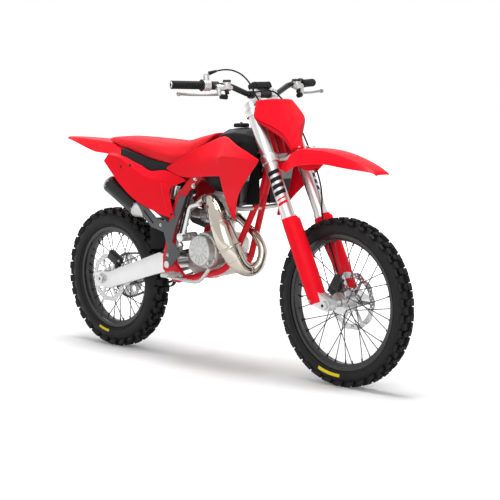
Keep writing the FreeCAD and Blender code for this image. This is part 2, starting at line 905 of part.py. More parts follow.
def steer_cables():
    """The front brake hose down to the caliper, and the throttle cable over to the lower clamp."""
    hose = tube([
        steer(29, -172, 882), steer(35, -148, 866), steer(42, -110, 856), steer(51, -60, 855),
        steer(58, -15, 858), steer(62, 18, 848), steer(63, 42, 816), steer(61, 62, 778),
        steer(60, 82, 733), steer(60, 94, 680), steer(61, 98, 622), steer(63, 99, 565), steer(63, 98, 510),
        steer(61, 94, 458), steer(57, 82, 410), steer(52, 66, 372), steer(48, 58, 330), steer(46, 56, 280),
        steer(45, 55, 225), steer(43, 54, 172), steer(39, 52, 124),
    ], hose_radius, 0.45)
    boot_start = steer(2, -231, 955)
    boot_end = steer(15, -204, 958)
    boot = funnel([(boot_start, 2.6 * cable_radius), (boot_end, 1.5 * cable_radius)])
    cable = tube([
        boot_end, steer(32, -182, 956), steer(50, -158, 946), steer(62, -132, 925), steer(66, -112, 898),
        steer(64, -98, 866), steer(57, -84, 828), steer(54, -64, 792), steer(52, -48, 748),
        steer(45, -38, 696), steer(36, -32, 650),
        steer(31, -30, lower_clamp_low + lower_clamp_height + fit_gap),
    ], cable_radius, 0.45)
    return Part.makeCompound([hose, boot.fuse(cable).removeSplitter()])


# Frame and rear end

spar_shares = [
    (1.00, 0.96), (0.88, 1.00), (0.39, 0.78), (0.16, 0.53), (0.07, 0.33), (0.00, 0.22), (0.00, 0.11),
    (0.12, 0.05), (0.39, 0.00), (0.56, 0.05), (0.30, 0.17), (0.26, 0.33), (0.32, 0.51), (0.56, 0.74),
]
spar_back = 412.0
spar_low = 322.0
spar_length = 228.0
spar_height = 450.0
cross_tube_reach = 606.0
cross_tube_drop = 126.0
cross_tube_height = seat_height - cross_tube_drop
cross_tube_radius = 13.0
rear_tube_reach = 470.0
cradle_front_reach = 732.0
cradle_front_height = 388.0
cradle_back_reach = 506.0
cradle_back_height = 336.0
split_reach = 874.0
split_height = 690.0
split_half_width = 17.0


def spar(side):
    outline = spread(spar_shares, spar_back, spar_low, spar_length, spar_height)
    low, high = sorted((side * spar_inside, side * spar_outside))
    return slab(outline, low, high)


def cradle_tube(side, radius):
    """One side's run from the split below the head, down and under the engine to the spar."""
    middle = side * cradle_half_width
    near_height = split_height - 2 * split_half_width
    return tube([
        place(split_reach, side * split_half_width / 2, split_height + backbone_radius),
        place(split_reach - split_half_width, side * split_half_width, near_height),
        place(cradle_front_reach, middle, cradle_front_height),
        place(cradle_back_reach, middle, cradle_back_height),
        place(cradle_back_reach - cradle_half_width, side * (spar_inside + bolt_gap), cradle_back_height),
    ], radius, 0.3)


def shock_tabs():
    """Two plates from the cross tube that hold the shock's upper eye between them."""
    half = cross_tube_radius * 0.8
    outline = [
        (cross_tube_reach, cross_tube_height - half), (cross_tube_reach, cross_tube_height + half),
        (shock_high_reach - shock_eye_radius, shock_high_height + shock_eye_radius),
        (shock_high_reach - shock_eye_radius, shock_high_height - shock_eye_radius),
    ]
    inside = shock_eye_half + fit_gap
    outside = inside + shock_tab_thickness
    left = slab(outline, shock_side + inside, shock_side + outside)
    right = slab(outline, shock_side - outside, shock_side - inside)
    return left, right


def frame():
    solid = rod(steer(0, 0, head_low), steer(0, 0, head_high), head_radius)
    head_middle = steer(0, 0, (head_low + head_high) / 2)
    backbone_end = place(cross_tube_reach, 0, cross_tube_height)
    solid = solid.fuse(rod(head_middle, backbone_end, backbone_radius))
    head_entry = steer(-stem_radius, 0, head_low + head_radius + backbone_radius)
    solid = solid.fuse(rod(head_entry, place(split_reach, 0, split_height), backbone_radius))
    for side in (-1, 1):
        solid = solid.fuse(cradle_tube(side, cradle_radius)).fuse(spar(side))
    reach = spar_inside + bolt_gap
    solid = solid.fuse(side_rod(cross_tube_reach, cross_tube_height, -reach, reach, cross_tube_radius))
    solid = solid.fuse(side_rod(rear_tube_reach, cradle_back_height, -reach, reach, cradle_radius))
    for tab in shock_tabs():
        solid = solid.fuse(tab)
    solid = solid.cut(rod(steer(0, 0, head_low), steer(0, 0, head_high), stem_radius + shaft_gap))
    bolt_room = pivot_bolt_radius + shaft_gap
    solid = solid.cut(side_rod(pivot_reach, pivot_height, -2 * spar_outside, 2 * spar_outside, bolt_room))
    return solid.removeSplitter()


subframe_side = 70.0
upper_rail_middle_reach = 372.0
upper_rail_middle_height = 776.0
upper_rail_back_reach = 108.0
upper_rail_back_height = 808.0
lower_rail_front_reach = 470.0
lower_rail_front_height = 553.0
lower_rail_bend_reach = 250.0
lower_rail_bend_height = 660.0
post_half_width = 10.0
post_half_length = 4.0


def upper_rail(side, radius):
    front = cross_tube_reach - cross_tube_radius - fit_gap
    return tube([
        place(front, side * subframe_side, cross_tube_height + bolt_gap),
        place(upper_rail_middle_reach, side * subframe_side, upper_rail_middle_height),
        place(upper_rail_back_reach, side * subframe_side, upper_rail_back_height),
    ], radius)


def lower_rail(side, radius):
    spar_middle = (spar_inside + spar_outside) / 2
    return tube([
        place(lower_rail_front_reach, side * spar_middle, lower_rail_front_height),
        place(lower_rail_bend_reach, side * spar_middle, lower_rail_bend_height),
        place(upper_rail_back_reach, side * subframe_side, upper_rail_back_height),
    ], radius)


def back_rail(radius):
    start = place(upper_rail_back_reach, -subframe_side, upper_rail_back_height)
    return rod(start, start + across * (2 * subframe_side), radius)


def subframe():
    """Upper and lower rails on each side, a rail across the back and a post up to the fender."""
    solid = back_rail(subframe_radius)
    for side in (-1, 1):
        solid = solid.fuse(upper_rail(side, subframe_radius))
        solid = solid.fuse(lower_rail(side, subframe_radius).cut(spar(side)))
    post_front = upper_rail_back_reach + post_half_length
    post_back = upper_rail_back_reach - post_half_length
    post_top = seat_underside(post_front) - fender_thickness - 2 * fit_gap
    post = slab([
        (post_back, upper_rail_back_height), (post_front, upper_rail_back_height),
        (post_front, post_top), (post_back, post_top),
    ], -post_half_width, post_half_width)
    solid = solid.fuse(post)
    return max(solid.removeSplitter().Solids, key=lambda one: one.Volume)


arm_box_back = 330.0
arm_box_length = 66.0
arm_box_low = 368.0
arm_box_height = 36.0


def swingarm():
    outline = [
        (-arm_overhang, rear_tyre_radius - arm_end_height / 2),
        (-arm_overhang, rear_tyre_radius + arm_end_height * 0.4),
        (arm_overhang, rear_tyre_radius + arm_end_height / 2),
        (pivot_reach - arm_front_height * 0.8, pivot_height + arm_front_height / 2),
        (pivot_reach, pivot_height + arm_front_height * 0.35),
        (pivot_reach + pivot_radius, pivot_height + pivot_radius / 2),
        (pivot_reach + pivot_radius, pivot_height - pivot_radius / 2),
        (pivot_reach, pivot_height - arm_front_height * 0.35),
        (pivot_reach - arm_front_height * 0.8, pivot_height - arm_front_height / 2),
        (arm_overhang, rear_tyre_radius - arm_end_height * 0.55),
    ]
    solid = slab(outline, arm_inside, arm_outside - bolt_gap)
    solid = solid.fuse(slab(outline, bolt_gap - arm_outside, -arm_inside))
    outer = arm_outside - bolt_gap
    solid = solid.fuse(side_rod(pivot_reach, pivot_height, -outer, outer, pivot_radius))
    box = [
        (arm_box_back, arm_box_low),
        (arm_box_back + arm_box_length, arm_box_low),
        (arm_box_back + arm_box_length, arm_box_low + arm_box_height),
        (arm_box_back, arm_box_low + arm_box_height),
    ]
    solid = solid.fuse(slab(box, -arm_inside, arm_inside))
    bolt_room = pivot_bolt_radius + shaft_gap
    solid = solid.cut(side_rod(pivot_reach, pivot_height, -arm_outside, arm_outside, bolt_room))
    solid = solid.cut(side_rod(0, rear_tyre_radius, -arm_outside, arm_outside, axle_radius + shaft_gap))
    return solid.removeSplitter()


def rear_axle():
    """The hollow wheel axle with its collars and nuts, and the swingarm's pivot bolt."""
    outside = arm_outside - bolt_gap + fit_gap
    solid = side_rod(0, rear_tyre_radius, -outside, outside, axle_radius)
    inside = arm_inside - fit_gap
    right = -(rear_disc_side + disc_thickness + bolt_gap)
    left = chain_side + sprocket_half_thickness + bolt_gap
    solid = solid.fuse(side_rod(0, rear_tyre_radius, -inside, right, axle_collar_radius))
    solid = solid.fuse(side_rod(0, rear_tyre_radius, left, inside, axle_collar_radius))
    end = outside + axle_nut_length
    solid = solid.fuse(side_rod(0, rear_tyre_radius, outside, end, axle_nut_radius))
    solid = solid.fuse(side_rod(0, rear_tyre_radius, -end, -outside, axle_nut_radius))
    solid = solid.cut(side_rod(0, rear_tyre_radius, -end, end, axle_bore)).removeSplitter()
    reach = spar_outside + fit_gap
    bolt = side_rod(pivot_reach, pivot_height, -reach, reach, pivot_bolt_radius)
    head_end = reach + pivot_bolt_radius / 2
    bolt = bolt.fuse(side_rod(pivot_reach, pivot_height, reach, head_end, pivot_radius * 0.7))
    bolt = bolt.fuse(side_rod(pivot_reach, pivot_height, -head_end, -reach, pivot_radius * 0.7))
    return Part.makeCompound([solid, bolt.removeSplitter()])


shock_side = -32.0
shock_low_reach = 388.0
shock_high_reach = 500.0
shock_high_height = 722.0
shock_eye_radius = 12.4
shock_eye_half = 15.5
shock_tab_thickness = 6.0
shock_body_radius = 18.5
shock_shaft_radius = 7.0
shock_seat_radius = 31.0
shock_seat_thickness = 8.0
spring_radius = 27.0
spring_wire_radius = 4.5
spring_turns = 7
reservoir_radius = 17.0
reservoir_length = 60.0
reservoir_back = 34.0
reservoir_side = 41.0


def shock_at(share):
    """A point on the shock's axis, from the lower eye on the swingarm to the upper eye."""
    low_height = arm_box_low + arm_box_height + shock_eye_radius + fit_gap
    low = place(shock_low_reach, shock_side, low_height)
    high = place(shock_high_reach, shock_side, shock_high_height)
    return low + (high - low) * share


def shock_body():
    eye = across * shock_eye_half
    solid = rod(shock_at(0) - eye, shock_at(0) + eye, shock_eye_radius)
    solid = solid.fuse(rod(shock_at(0), shock_at(0.5), shock_shaft_radius))
    solid = solid.fuse(rod(shock_at(0.4), shock_at(0.92), shock_body_radius))
    solid = solid.fuse(rod(shock_at(0.9), shock_at(1), shock_eye_radius))
    axis = shock_at(1) - shock_at(0)
    axis.normalize()
    seat_step = axis * shock_seat_thickness
    for share in (0.1, 0.84):
        solid = solid.fuse(rod(shock_at(share), shock_at(share) + seat_step, shock_seat_radius))
    solid = solid.fuse(rod(shock_at(1) - eye, shock_at(1) + eye, shock_eye_radius))
    away = FreeCAD.Vector(-reservoir_back, -reservoir_side, 0)
    start = shock_at(0.96) + away
    solid = solid.fuse(rod(start, start - axis * reservoir_length, reservoir_radius))
    neck = shock_at(0.87)
    solid = solid.fuse(rod(neck, neck + away, reservoir_radius / 2))
    return solid.removeSplitter()


def shock_spring():
    axis = shock_at(1) - shock_at(0)
    length = axis.Length
    axis.normalize()
    low = shock_at(0.1) + axis * (shock_seat_thickness + spring_wire_radius + fit_gap)
    height = length * 0.74 - shock_seat_thickness - 2 * (spring_wire_radius + fit_gap)
    helix = Part.makeHelix(height / spring_turns, height, spring_radius)
    start = FreeCAD.Vector(spring_radius, 0, 0)
    circle = Part.Wire([Part.makeCircle(spring_wire_radius, start, FreeCAD.Vector(0, 1, 0))])
    coil = Part.Wire(helix.Edges).makePipeShell([circle], True, True)
    turn = FreeCAD.Rotation(FreeCAD.Vector(0, 0, 1), axis)
    coil.Placement = FreeCAD.Placement(low, turn)
    return coil


def chain_stations():
    """Places on the chain's pitch line about both sprockets, each with its outward direction."""
    front = place(front_sprocket_reach, 0, front_sprocket_height)
    rear = place(0, 0, rear_tyre_radius)
    line = front - rear
    tilt = math.atan2(line.z, line.x)
    lean = math.acos((rear_pitch_radius - front_pitch_radius) / line.Length)
    stations = []

    def arc(centre, radius, start, end):
        count = 2 * round(abs(end - start) * radius / chain_pitch / 2)
        for step in range(count + 1):
            turn = start + (end - start) * step / count
            out = FreeCAD.Vector(math.cos(turn), 0, math.sin(turn))
            stations.append((centre + out * radius, out))

    def run(start, end, out):
        count = round((end - start).Length / chain_pitch / 2)
        for step in range(1, count):
            stations.append((start + (end - start) * (step / count), out))

    arc(front, front_pitch_radius, tilt + lean, tilt - lean)
    low_out = stations[-1][1]
    run(stations[-1][0], rear + low_out * rear_pitch_radius, low_out)
    arc(rear, rear_pitch_radius, tilt - lean, tilt + lean - 2 * math.pi)
    high_out = stations[-1][1]
    run(stations[-1][0], front + high_out * front_pitch_radius, high_out)
    return stations


def chain_layer(low, high, inner):
    """A closed band of links, every other one waisted."""
    outer_points = []
    inner_points = []
    for number, (spot, out) in enumerate(chain_stations()):
        waist = chain_waist if number % 2 else 0
        outer_points.append(spot + out * (chain_half_height - waist) + across * low)
        inner_points.append(spot + out * inner + across * low)
    solid = polygon_face(outer_points).extrude(across * (high - low))
    return solid.cut(polygon_face(inner_points).extrude(across * (high - low)))


def chain():
    low = chain_side - chain_half_width
    high = chain_side + chain_half_width
    slot = sprocket_half_thickness + chain_gap
    solid = chain_layer(low, chain_side - slot, -chain_half_height)
    solid = solid.fuse(chain_layer(chain_side - slot, chain_side + slot, 0))
    solid = solid.fuse(chain_layer(chain_side + slot, high, -chain_half_height))
    return solid.removeSplitter()


# Engine

case_shares = [
    (0.00, 0.18), (0.00, 0.49), (0.17, 0.87), (0.41, 1.00), (0.88, 1.00), (1.00, 0.76), (1.00, 0.44),
    (0.81, 0.12), (0.43, 0.00), (0.17, 0.04),
]
case_back = 486.0
case_low = 344.0
case_length = 244.0
case_height = 180.0
wide_case_back = 545.0
wide_case_low = 412.0
mount_lug_low = 424.0
mount_lug_high = 448.0
mount_lug_overhang = 20.0    # how far the lug stands out of the case's front
mount_lug_half_width = 52.0


def crankcase():
    outline = spread(case_shares, case_back, case_low, case_length, case_height)
    solid = slab(outline, -case_half_width, case_half_width)
    wide_length = case_back + case_length - wide_case_back
    wide_height = case_low + case_height - wide_case_low
    outline = spread(case_shares, wide_case_back, wide_case_low, wide_length, wide_height)
    solid = solid.fuse(slab(outline, -case_wide_half_width, case_wide_half_width))
    cover = side_rod(crank_reach, crank_height, case_wide_half_width, flywheel_outside, flywheel_radius)
    solid = solid.fuse(cover)
    shaft_end = chain_side - sprocket_half_thickness
    shaft = side_rod(front_sprocket_reach, front_sprocket_height, 0, shaft_end, axle_radius)
    solid = solid.fuse(shaft)
    centre = place(front_sprocket_reach, 0, front_sprocket_height)
    gear = sprocket(centre, front_pitch_radius, front_sprocket_teeth, axle_bore)
    lug_front = case_back + case_length + mount_lug_overhang
    lug_back = lug_front - mount_lug_half_width
    lug = slab([
        (lug_back, mount_lug_low), (lug_front, mount_lug_low),
        (lug_front, mount_lug_high), (lug_back, mount_lug_high),
    ], -mount_lug_half_width, mount_lug_half_width)
    for side in (-1, 1):
        lug = lug.cut(cradle_tube(side, cradle_radius + fit_gap))
    return solid.fuse(gear).fuse(lug).removeSplitter()


kick_reach = 554.0
kick_height = 510.0
kick_boss_radius = 17.0
kick_boss_end = 112.0


def clutch_cover():
    """The round outer cover on the right, stepped twice, with the kick shaft's boss behind it."""
    inner = -(case_wide_half_width + fit_gap)
    middle = -(case_wide_half_width + clutch_outside) / 2
    solid = side_rod(crank_reach, crank_height, middle, inner, clutch_radius * 1.06)
    solid = solid.fuse(side_rod(crank_reach, crank_height, -clutch_outside, middle, clutch_radius * 0.9))
    boss = side_rod(kick_reach, kick_height, -kick_boss_end, inner, kick_boss_radius)
    web = slab([
        (kick_reach, kick_height - kick_boss_radius / 2), (crank_reach, crank_height),
        (crank_reach, crank_height + clutch_radius / 2), (kick_reach, kick_height + kick_boss_radius / 2),
    ], middle, inner)
    return solid.fuse(boss).fuse(web).removeSplitter()


cylinder_back_reach = 648.0
cylinder_lean = 24.0
fin_step = 14.0


def cylinder():
    """Cylinder and head on one axis, with the head's rim and the spark plug on top."""
    low = place(cylinder_back_reach, 0, cylinder_low)
    high = place(cylinder_back_reach + cylinder_lean, 0, cylinder_high)
    axis = high - low
    axis.normalize()
    solid = rod(low, high, cylinder_radius * 0.9)
    for share in (0.02, 0.3, 0.72, 0.92):
        start = low + (high - low) * share
        solid = solid.fuse(rod(start, start + axis * (fin_step / 2), cylinder_radius))
    plug = high + axis * (2 * fin_step)
    solid = solid.fuse(rod(high, plug, axle_radius))
    port = place(cylinder_back_reach + cylinder_lean / 2, 0, port_height)
    port_end = place(port_end_reach, 0, port_height)
    solid = solid.fuse(rod(port, port_end, port_radius + bolt_gap))
    intake_end = place(intake_reach, 0, port_height)
    solid = solid.fuse(rod(port, intake_end, intake_radius))
    floor = [
        (cylinder_back_reach - 2 * cylinder_radius, cylinder_low - 2 * cylinder_radius),
        (cylinder_back_reach + 2 * cylinder_radius, cylinder_low - 2 * cylinder_radius),
        (cylinder_back_reach + 2 * cylinder_radius, cylinder_low + fit_gap),
        (cylinder_back_reach - 2 * cylinder_radius, cylinder_low + fit_gap),
    ]
    below = slab(floor, -2 * cylinder_radius, 2 * cylinder_radius)
    return solid.cut(below).removeSplitter()


port_radius = 17.0
port_end_reach = 717.0
intake_length = 56.0
intake_reach = cylinder_back_reach - intake_length
intake_radius = 20.0
carb_radius = 24.0
carb_length = 52.0
carb_bowl_depth = 40.0
boot_end_reach = 376.0
boot_end_height = 648.0
boot_side = 28.0


def carburettor():
    """Carburettor body, slide housing and float bowl, and the boot back to the airbox."""
    front = place(intake_reach - fit_gap, 0, port_height)
    back = place(intake_reach - carb_length, 0, port_height)
    solid = rod(front, back, carb_radius)
    middle = (front + back) * 0.5
    up = FreeCAD.Vector(0, 0, carb_bowl_depth)
    solid = solid.fuse(rod(middle - up, middle + up * 1.2, carb_radius * 0.8))
    end = place(boot_end_reach, boot_side, boot_end_height)
    bend = place((intake_reach - carb_length + boot_end_reach) / 2, boot_side * 0.9, port_height + bolt_gap)
    solid = solid.fuse(funnel([(back, carb_radius * 0.8), (bend, carb_radius * 0.9), (end, carb_radius)]))
    wall = airbox_back + airbox_length * airbox_front_share + fit_gap
    behind = [
        (airbox_back, airbox_low), (wall, airbox_low - carb_radius),
        (wall, seat_height), (airbox_back, seat_height),
    ]
    return solid.cut(slab(behind, -body_half_width, body_half_width)).removeSplitter()


airbox_front_share = 0.78
airbox_under_shares = [
    (1.00, 0.66), (airbox_front_share, 0.60), (airbox_front_share, 0.00), (0.51, 0.00), (0.37, 0.15),
    (0.00, 0.77), (0.09, 0.90),
]
airbox_top_shares = [0.10, 0.28, 0.59, 0.95, 1.00]
airbox_back = 120.0
airbox_low = 606.0
airbox_length = 350.0
airbox_height = 214.0
airbox_half_width = 46.0
airbox_wing_half_width = 104.0
airbox_wing_low_share = 0.62


def airbox():
    """The air filter's box up to the seat's underside, with a flange out to each side panel."""
    top = []
    for along in airbox_top_shares:
        x = airbox_back + airbox_length * along
        top.append((x, seat_underside(x) - fit_gap))
    under = spread(airbox_under_shares, airbox_back, airbox_low, airbox_length, airbox_height)
    solid = slab(top + under, -airbox_half_width, airbox_half_width)
    wing_shares = [(along, max(up, airbox_wing_low_share)) for along, up in airbox_under_shares]
    wing_shares = [wing_shares[0], wing_shares[1]] + wing_shares[4:]
    wing = spread(wing_shares, airbox_back, airbox_low, airbox_length, airbox_height)
    solid = solid.fuse(slab(top + wing, -airbox_wing_half_width, airbox_wing_half_width))
    room = subframe_radius + fit_gap
    for side in (-1, 1):
        solid = solid.cut(upper_rail(side, room)).cut(lower_rail(side, room))
    solid = solid.cut(back_rail(room))
    return max(solid.Solids, key=lambda one: one.Volume)


pipe_back = 336.0
pipe_length = 540.0
pipe_low = 398.0
pipe_height = 270.0
pipe_side = 127.0
belly_radius = 43.0
pipe_shares = [
    (0.770, 0.00, 0.675, 0.36), (0.833, 0.00, 0.593, 0.36), (0.896, 0.00, 0.511, 0.36),
    (0.952, 0.01, 0.407, 0.37), (0.989, 0.03, 0.281, 0.40), (1.000, 0.11, 0.156, 0.43),
    (0.993, 0.24, 0.052, 0.48), (0.967, 0.43, 0.000, 0.56), (0.937, 0.65, 0.044, 0.70),
    (0.907, 0.83, 0.170, 0.86), (0.878, 0.95, 0.326, 0.99), (0.841, 1.00, 0.489, 1.00),
    (0.800, 0.98, 0.652, 0.86), (0.754, 0.94, 0.800, 0.70), (0.696, 0.87, 0.926, 0.56),
    (0.622, 0.75, 1.000, 0.42), (0.541, 0.64, 0.978, 0.33), (0.443, 0.61, 0.881, 0.28),
]
tail_shares = [(0.304, 0.61, 0.770), (0.174, 0.61, 0.685), (0.067, 0.63, 0.611)]
tail_lap = 12.0


def pipe_point(along, side, up):
    return place(pipe_back + pipe_length * along, -pipe_side * side, pipe_low + pipe_height * up)


def exhaust_pipe():
    """From the cylinder's port, ahead and down between the tubes, up as the belly and back."""
    first = port_radius * 0.9
    stations = [
        (place(port_end_reach + fit_gap, 0, port_height), first),
        (place(port_end_reach + port_radius, 0, port_height), first),
    ]
    for along, side, up, fat in pipe_shares:
        stations.append((pipe_point(along, side, up), belly_radius * fat))
    axis = silencer_at(1) - silencer_at(0)
    axis.normalize()
    joint = silencer_at(silencer_cone_share)
    tail = [pipe_point(*row) for row in tail_shares]
    end = stations[-1][0]
    into = end - tail[0]
    into.normalize()
    tail = [end + into * tail_lap] + tail + [joint + axis * (2 * port_radius), joint + axis * fit_gap]
    return funnel(stations).fuse(tube(tail, stations[-1][1] - fit_gap)).removeSplitter()


silencer_cone_share = 1.1


def silencer_at(share):
    back = place(silencer_back, -silencer_side, silencer_back_height)
    front_height = lower_rail_bend_height - silencer_drop
    front = place(silencer_front, -silencer_side, front_height)
    return back + (front - back) * share


def silencer():
    """The black can with an end cap behind and a cone in front, joined by thin collars."""
    can = rod(silencer_at(0.04), silencer_at(0.9), silencer_radius)
    cap = rod(silencer_at(-0.02), silencer_at(0.04), silencer_radius * 1.02)
    cone = funnel([
        (silencer_at(0.9), silencer_radius * 1.02),
        (silencer_at(0.96), silencer_radius * 0.9),
        (silencer_at(silencer_cone_share), port_radius),
    ])
    solid = can.fuse(cap).fuse(cone)
    return solid.cut(rod(silencer_at(-0.02), silencer_at(0.3), port_radius)).removeSplitter()


# Bodywork

shroud_shares = [
    (0.00, 0.56), (0.07, 0.63), (0.46, 0.95), (0.53, 1.00), (0.74, 0.88), (0.80, 0.86), (1.00, 0.74),
    (0.99, 0.70), (0.88, 0.53), (0.79, 0.37), (0.73, 0.25), (0.65, 0.00), (0.63, 0.02), (0.62, 0.13),
    (0.61, 0.36), (0.59, 0.52), (0.36, 0.49), (0.14, 0.45),
]
shroud_level_shares = [0.0, 0.36, 0.76, 1.0]
shroud_station_shares = [-0.02, 0.28, 0.54, 0.78, 1.02]
shroud_side_shares = [
    (0.60, 0.60, 0.60, 0.60, 0.62),
    (0.62, 0.68, 0.79, 0.88, 0.92),
    (0.62, 0.68, 0.82, 0.93, 1.00),
    (0.47, 0.47, 0.47, 0.66, 0.90),
]


def skin(levels, stations, side_rows, thickness):
    """A thin wall on the left side, bowed in plan and from level to level."""
    sections = []
    for z, sides in zip(levels, side_rows):
        outer = [place(x, side, z) for x, side in zip(stations, sides)]
        inner = [place(x, side - thickness, z) for x, side in zip(stations, sides)]
        sections.append(outer + list(reversed(inner)))
    return loft(sections)


def boss(x, z, start, filled):
    """A round boss behind a panel, from start outwards to the panel's own outer face."""
    return side_rod(x, z, start, body_half_width, boss_radius).common(filled)


def shrouds():
    levels = [shroud_low + shroud_height * up for up in shroud_level_shares]
    stations = [shroud_back + shroud_length * along for along in shroud_station_shares]
    rows = [[body_half_width * side for side in row] for row in shroud_side_shares]
    wall = skin(levels, stations, rows, panel_thickness)
    outline = spread(shroud_shares, shroud_back, shroud_low, shroud_length, shroud_height)
    solid = wall.common(slab(outline, 0, 2 * body_half_width))
    filled = skin(levels, stations, rows, body_half_width / 2)
    half_tank = radiator_tank_height / 2
    for height in (radiator_low + half_tank, radiator_high - half_tank):
        reach, outside = radiator_edge(height)
        solid = solid.fuse(boss(reach, height, outside + bolt_gap + 2 * fit_gap, filled))
    return pair(solid.removeSplitter())


side_panel_shares = [
    (0.06, 1.00), (0.00, 0.86), (0.14, 0.64), (0.43, 0.24), (0.81, 0.00), (0.86, 0.02), (0.88, 0.08),
    (0.81, 0.45), (0.82, 0.49), (0.93, 0.56), (1.00, 0.61), (0.99, 0.64), (0.76, 0.78), (0.57, 0.72),
    (0.35, 0.90), (0.23, 1.00),
]
panel_level_shares = [0.0, 0.45, 1.0]
panel_station_shares = [-0.02, 0.4, 0.8, 1.02]
panel_side_shares = [
    (0.64, 0.655, 0.60, 0.58),
    (0.655, 0.68, 0.64, 0.59),
    (0.56, 0.575, 0.58, 0.58),
]


panel_boss_shares = [(0.35, 0.81), (0.72, 0.71)]


def side_panels():
    levels = [panel_low + panel_height * up for up in panel_level_shares]
    stations = [panel_back + panel_length * along for along in panel_station_shares]
    rows = [[body_half_width * side for side in row] for row in panel_side_shares]
    wall = skin(levels, stations, rows, panel_thickness)
    outline = spread(side_panel_shares, panel_back, panel_low, panel_length, panel_height)
    solid = wall.common(slab(outline, 0, 2 * body_half_width))
    filled = skin(levels, stations, rows, body_half_width / 2)
    for x, z in spread(panel_boss_shares, panel_back, panel_low, panel_length, panel_height):
        solid = solid.fuse(boss(x, z, airbox_wing_half_width + fit_gap, filled))
    return pair(solid.removeSplitter())


guard_plate_shares = [
    (0.00, 0.85), (0.13, 0.66), (0.28, 0.53), (0.54, 0.47), (0.61, 0.27), (0.54, 0.03), (0.69, 0.00),
    (0.87, 0.20), (0.70, 0.35), (0.79, 0.57), (1.00, 1.00), (0.87, 0.99), (0.67, 0.61), (0.39, 0.66),
    (0.22, 0.79),
]


def frame_guards():
    back = guard_plate_back
    outline = spread(guard_plate_shares, back, guard_plate_low, guard_plate_length, guard_plate_height)
    low = spar_outside + fit_gap
    solid = slab(outline, low, low + guard_plate_thickness)
    bolt = side_rod(pivot_reach, pivot_height, 0, 2 * spar_outside, pivot_radius * 0.7 + bolt_gap)
    return pair(solid.cut(bolt))


rear_fender_shares = [
    (0.00, 1.00, 0.20, 0.10),
    (0.18, 1.00, 0.56, 0.22),
    (0.41, 0.97, 0.74, 0.54),
    (0.58, 0.93, 0.84, 0.74),
    (0.73, 0.90, 0.94, 0.72),
    (0.87, 0.70, 0.98, 0.60),
    (1.00, 0.50, 1.00, 0.40),
]


def rear_fender():
    """A long arch whose front end lies against the underside of the seat."""
    sections = []
    low = rear_fender_height - rear_fender_depth
    for along, up, wide, deep in rear_fender_shares:
        x = -rear_fender_tip + rear_fender_length * along
        top = low + rear_fender_depth * up
        if x > seat_back:
            top = seat_underside(x) - fit_gap
        half_width = rear_fender_half_width * wide
        sections.append(fender_section(x, top, half_width, rear_fender_depth * deep, fender_thickness))
    return loft(sections)


mud_flap_side = 36.0
mud_flap_back = 322.0
mud_flap_low = 412.0
mud_flap_lean = 26.0


def mud_flap():
    top = airbox_low - fit_gap
    outline = [
        (mud_flap_back + mud_flap_lean, mud_flap_low),
        (mud_flap_back + mud_flap_lean + fender_thickness, mud_flap_low),
        (mud_flap_back + fender_thickness, top),
        (mud_flap_back, top),
    ]
    return slab(outline, -mud_flap_side, mud_flap_side)


seat_shares = [
    (0.000, 0.30, 0.645, 0.60),
    (0.100, 0.31, 0.530, 0.74),
    (0.290, 0.24, 0.310, 0.86),
    (0.460, 0.15, 0.120, 0.92),
    (0.656, 0.00, 0.000, 0.98),
    (0.760, 0.21, -0.040, 0.94),
    (0.840, 0.50, 0.060, 0.90),
    (0.920, 0.75, 0.500, 0.84),
    (1.000, 1.00, 0.850, 0.76),
]
seat_low = 792.0


def seat_underside(x):
    """How high the seat's underside is above this place."""
    stations = [(seat_back + seat_length * row[0], seat_low + seat_depth * row[2]) for row in seat_shares]
    for (before, low), (after, high) in zip(stations, stations[1:]):
        if x <= after:
            return low + (high - low) * (x - before) / (after - before)
    return stations[-1][1]


def seat():
    """The cushion as one closed form, crowned across, lowest on top where the rider sits."""
    sections = []
    for along, rise, under, wide in seat_shares:
        x = seat_back + seat_length * along
        top = seat_height + seat_rise * rise
        bottom = seat_low + seat_depth * under
        half_width = seat_half_width * wide
        depth = top - bottom
        right = [(1.0, 0.0), (1.0, 0.25), (0.86, 0.8), (0.66, 0.96), (0.3, 1.0)]
        left = [(-share, up) for share, up in reversed(right)]
        sections.append([place(x, half_width * share, bottom + depth * up) for share, up in right + left])
    return loft(sections)


tank_shares = [
    (0.00, 0.345, 0.26, 0.75),
    (0.22, 0.585, 0.125, 0.92),
    (0.36, 0.83, 0.02, 1.00),
    (0.50, 0.975, 0.00, 1.00),
    (0.68, 1.00, 0.063, 0.96),
    (0.84, 0.965, 0.42, 0.78),
    (1.00, 0.85, 0.65, 0.30),
]


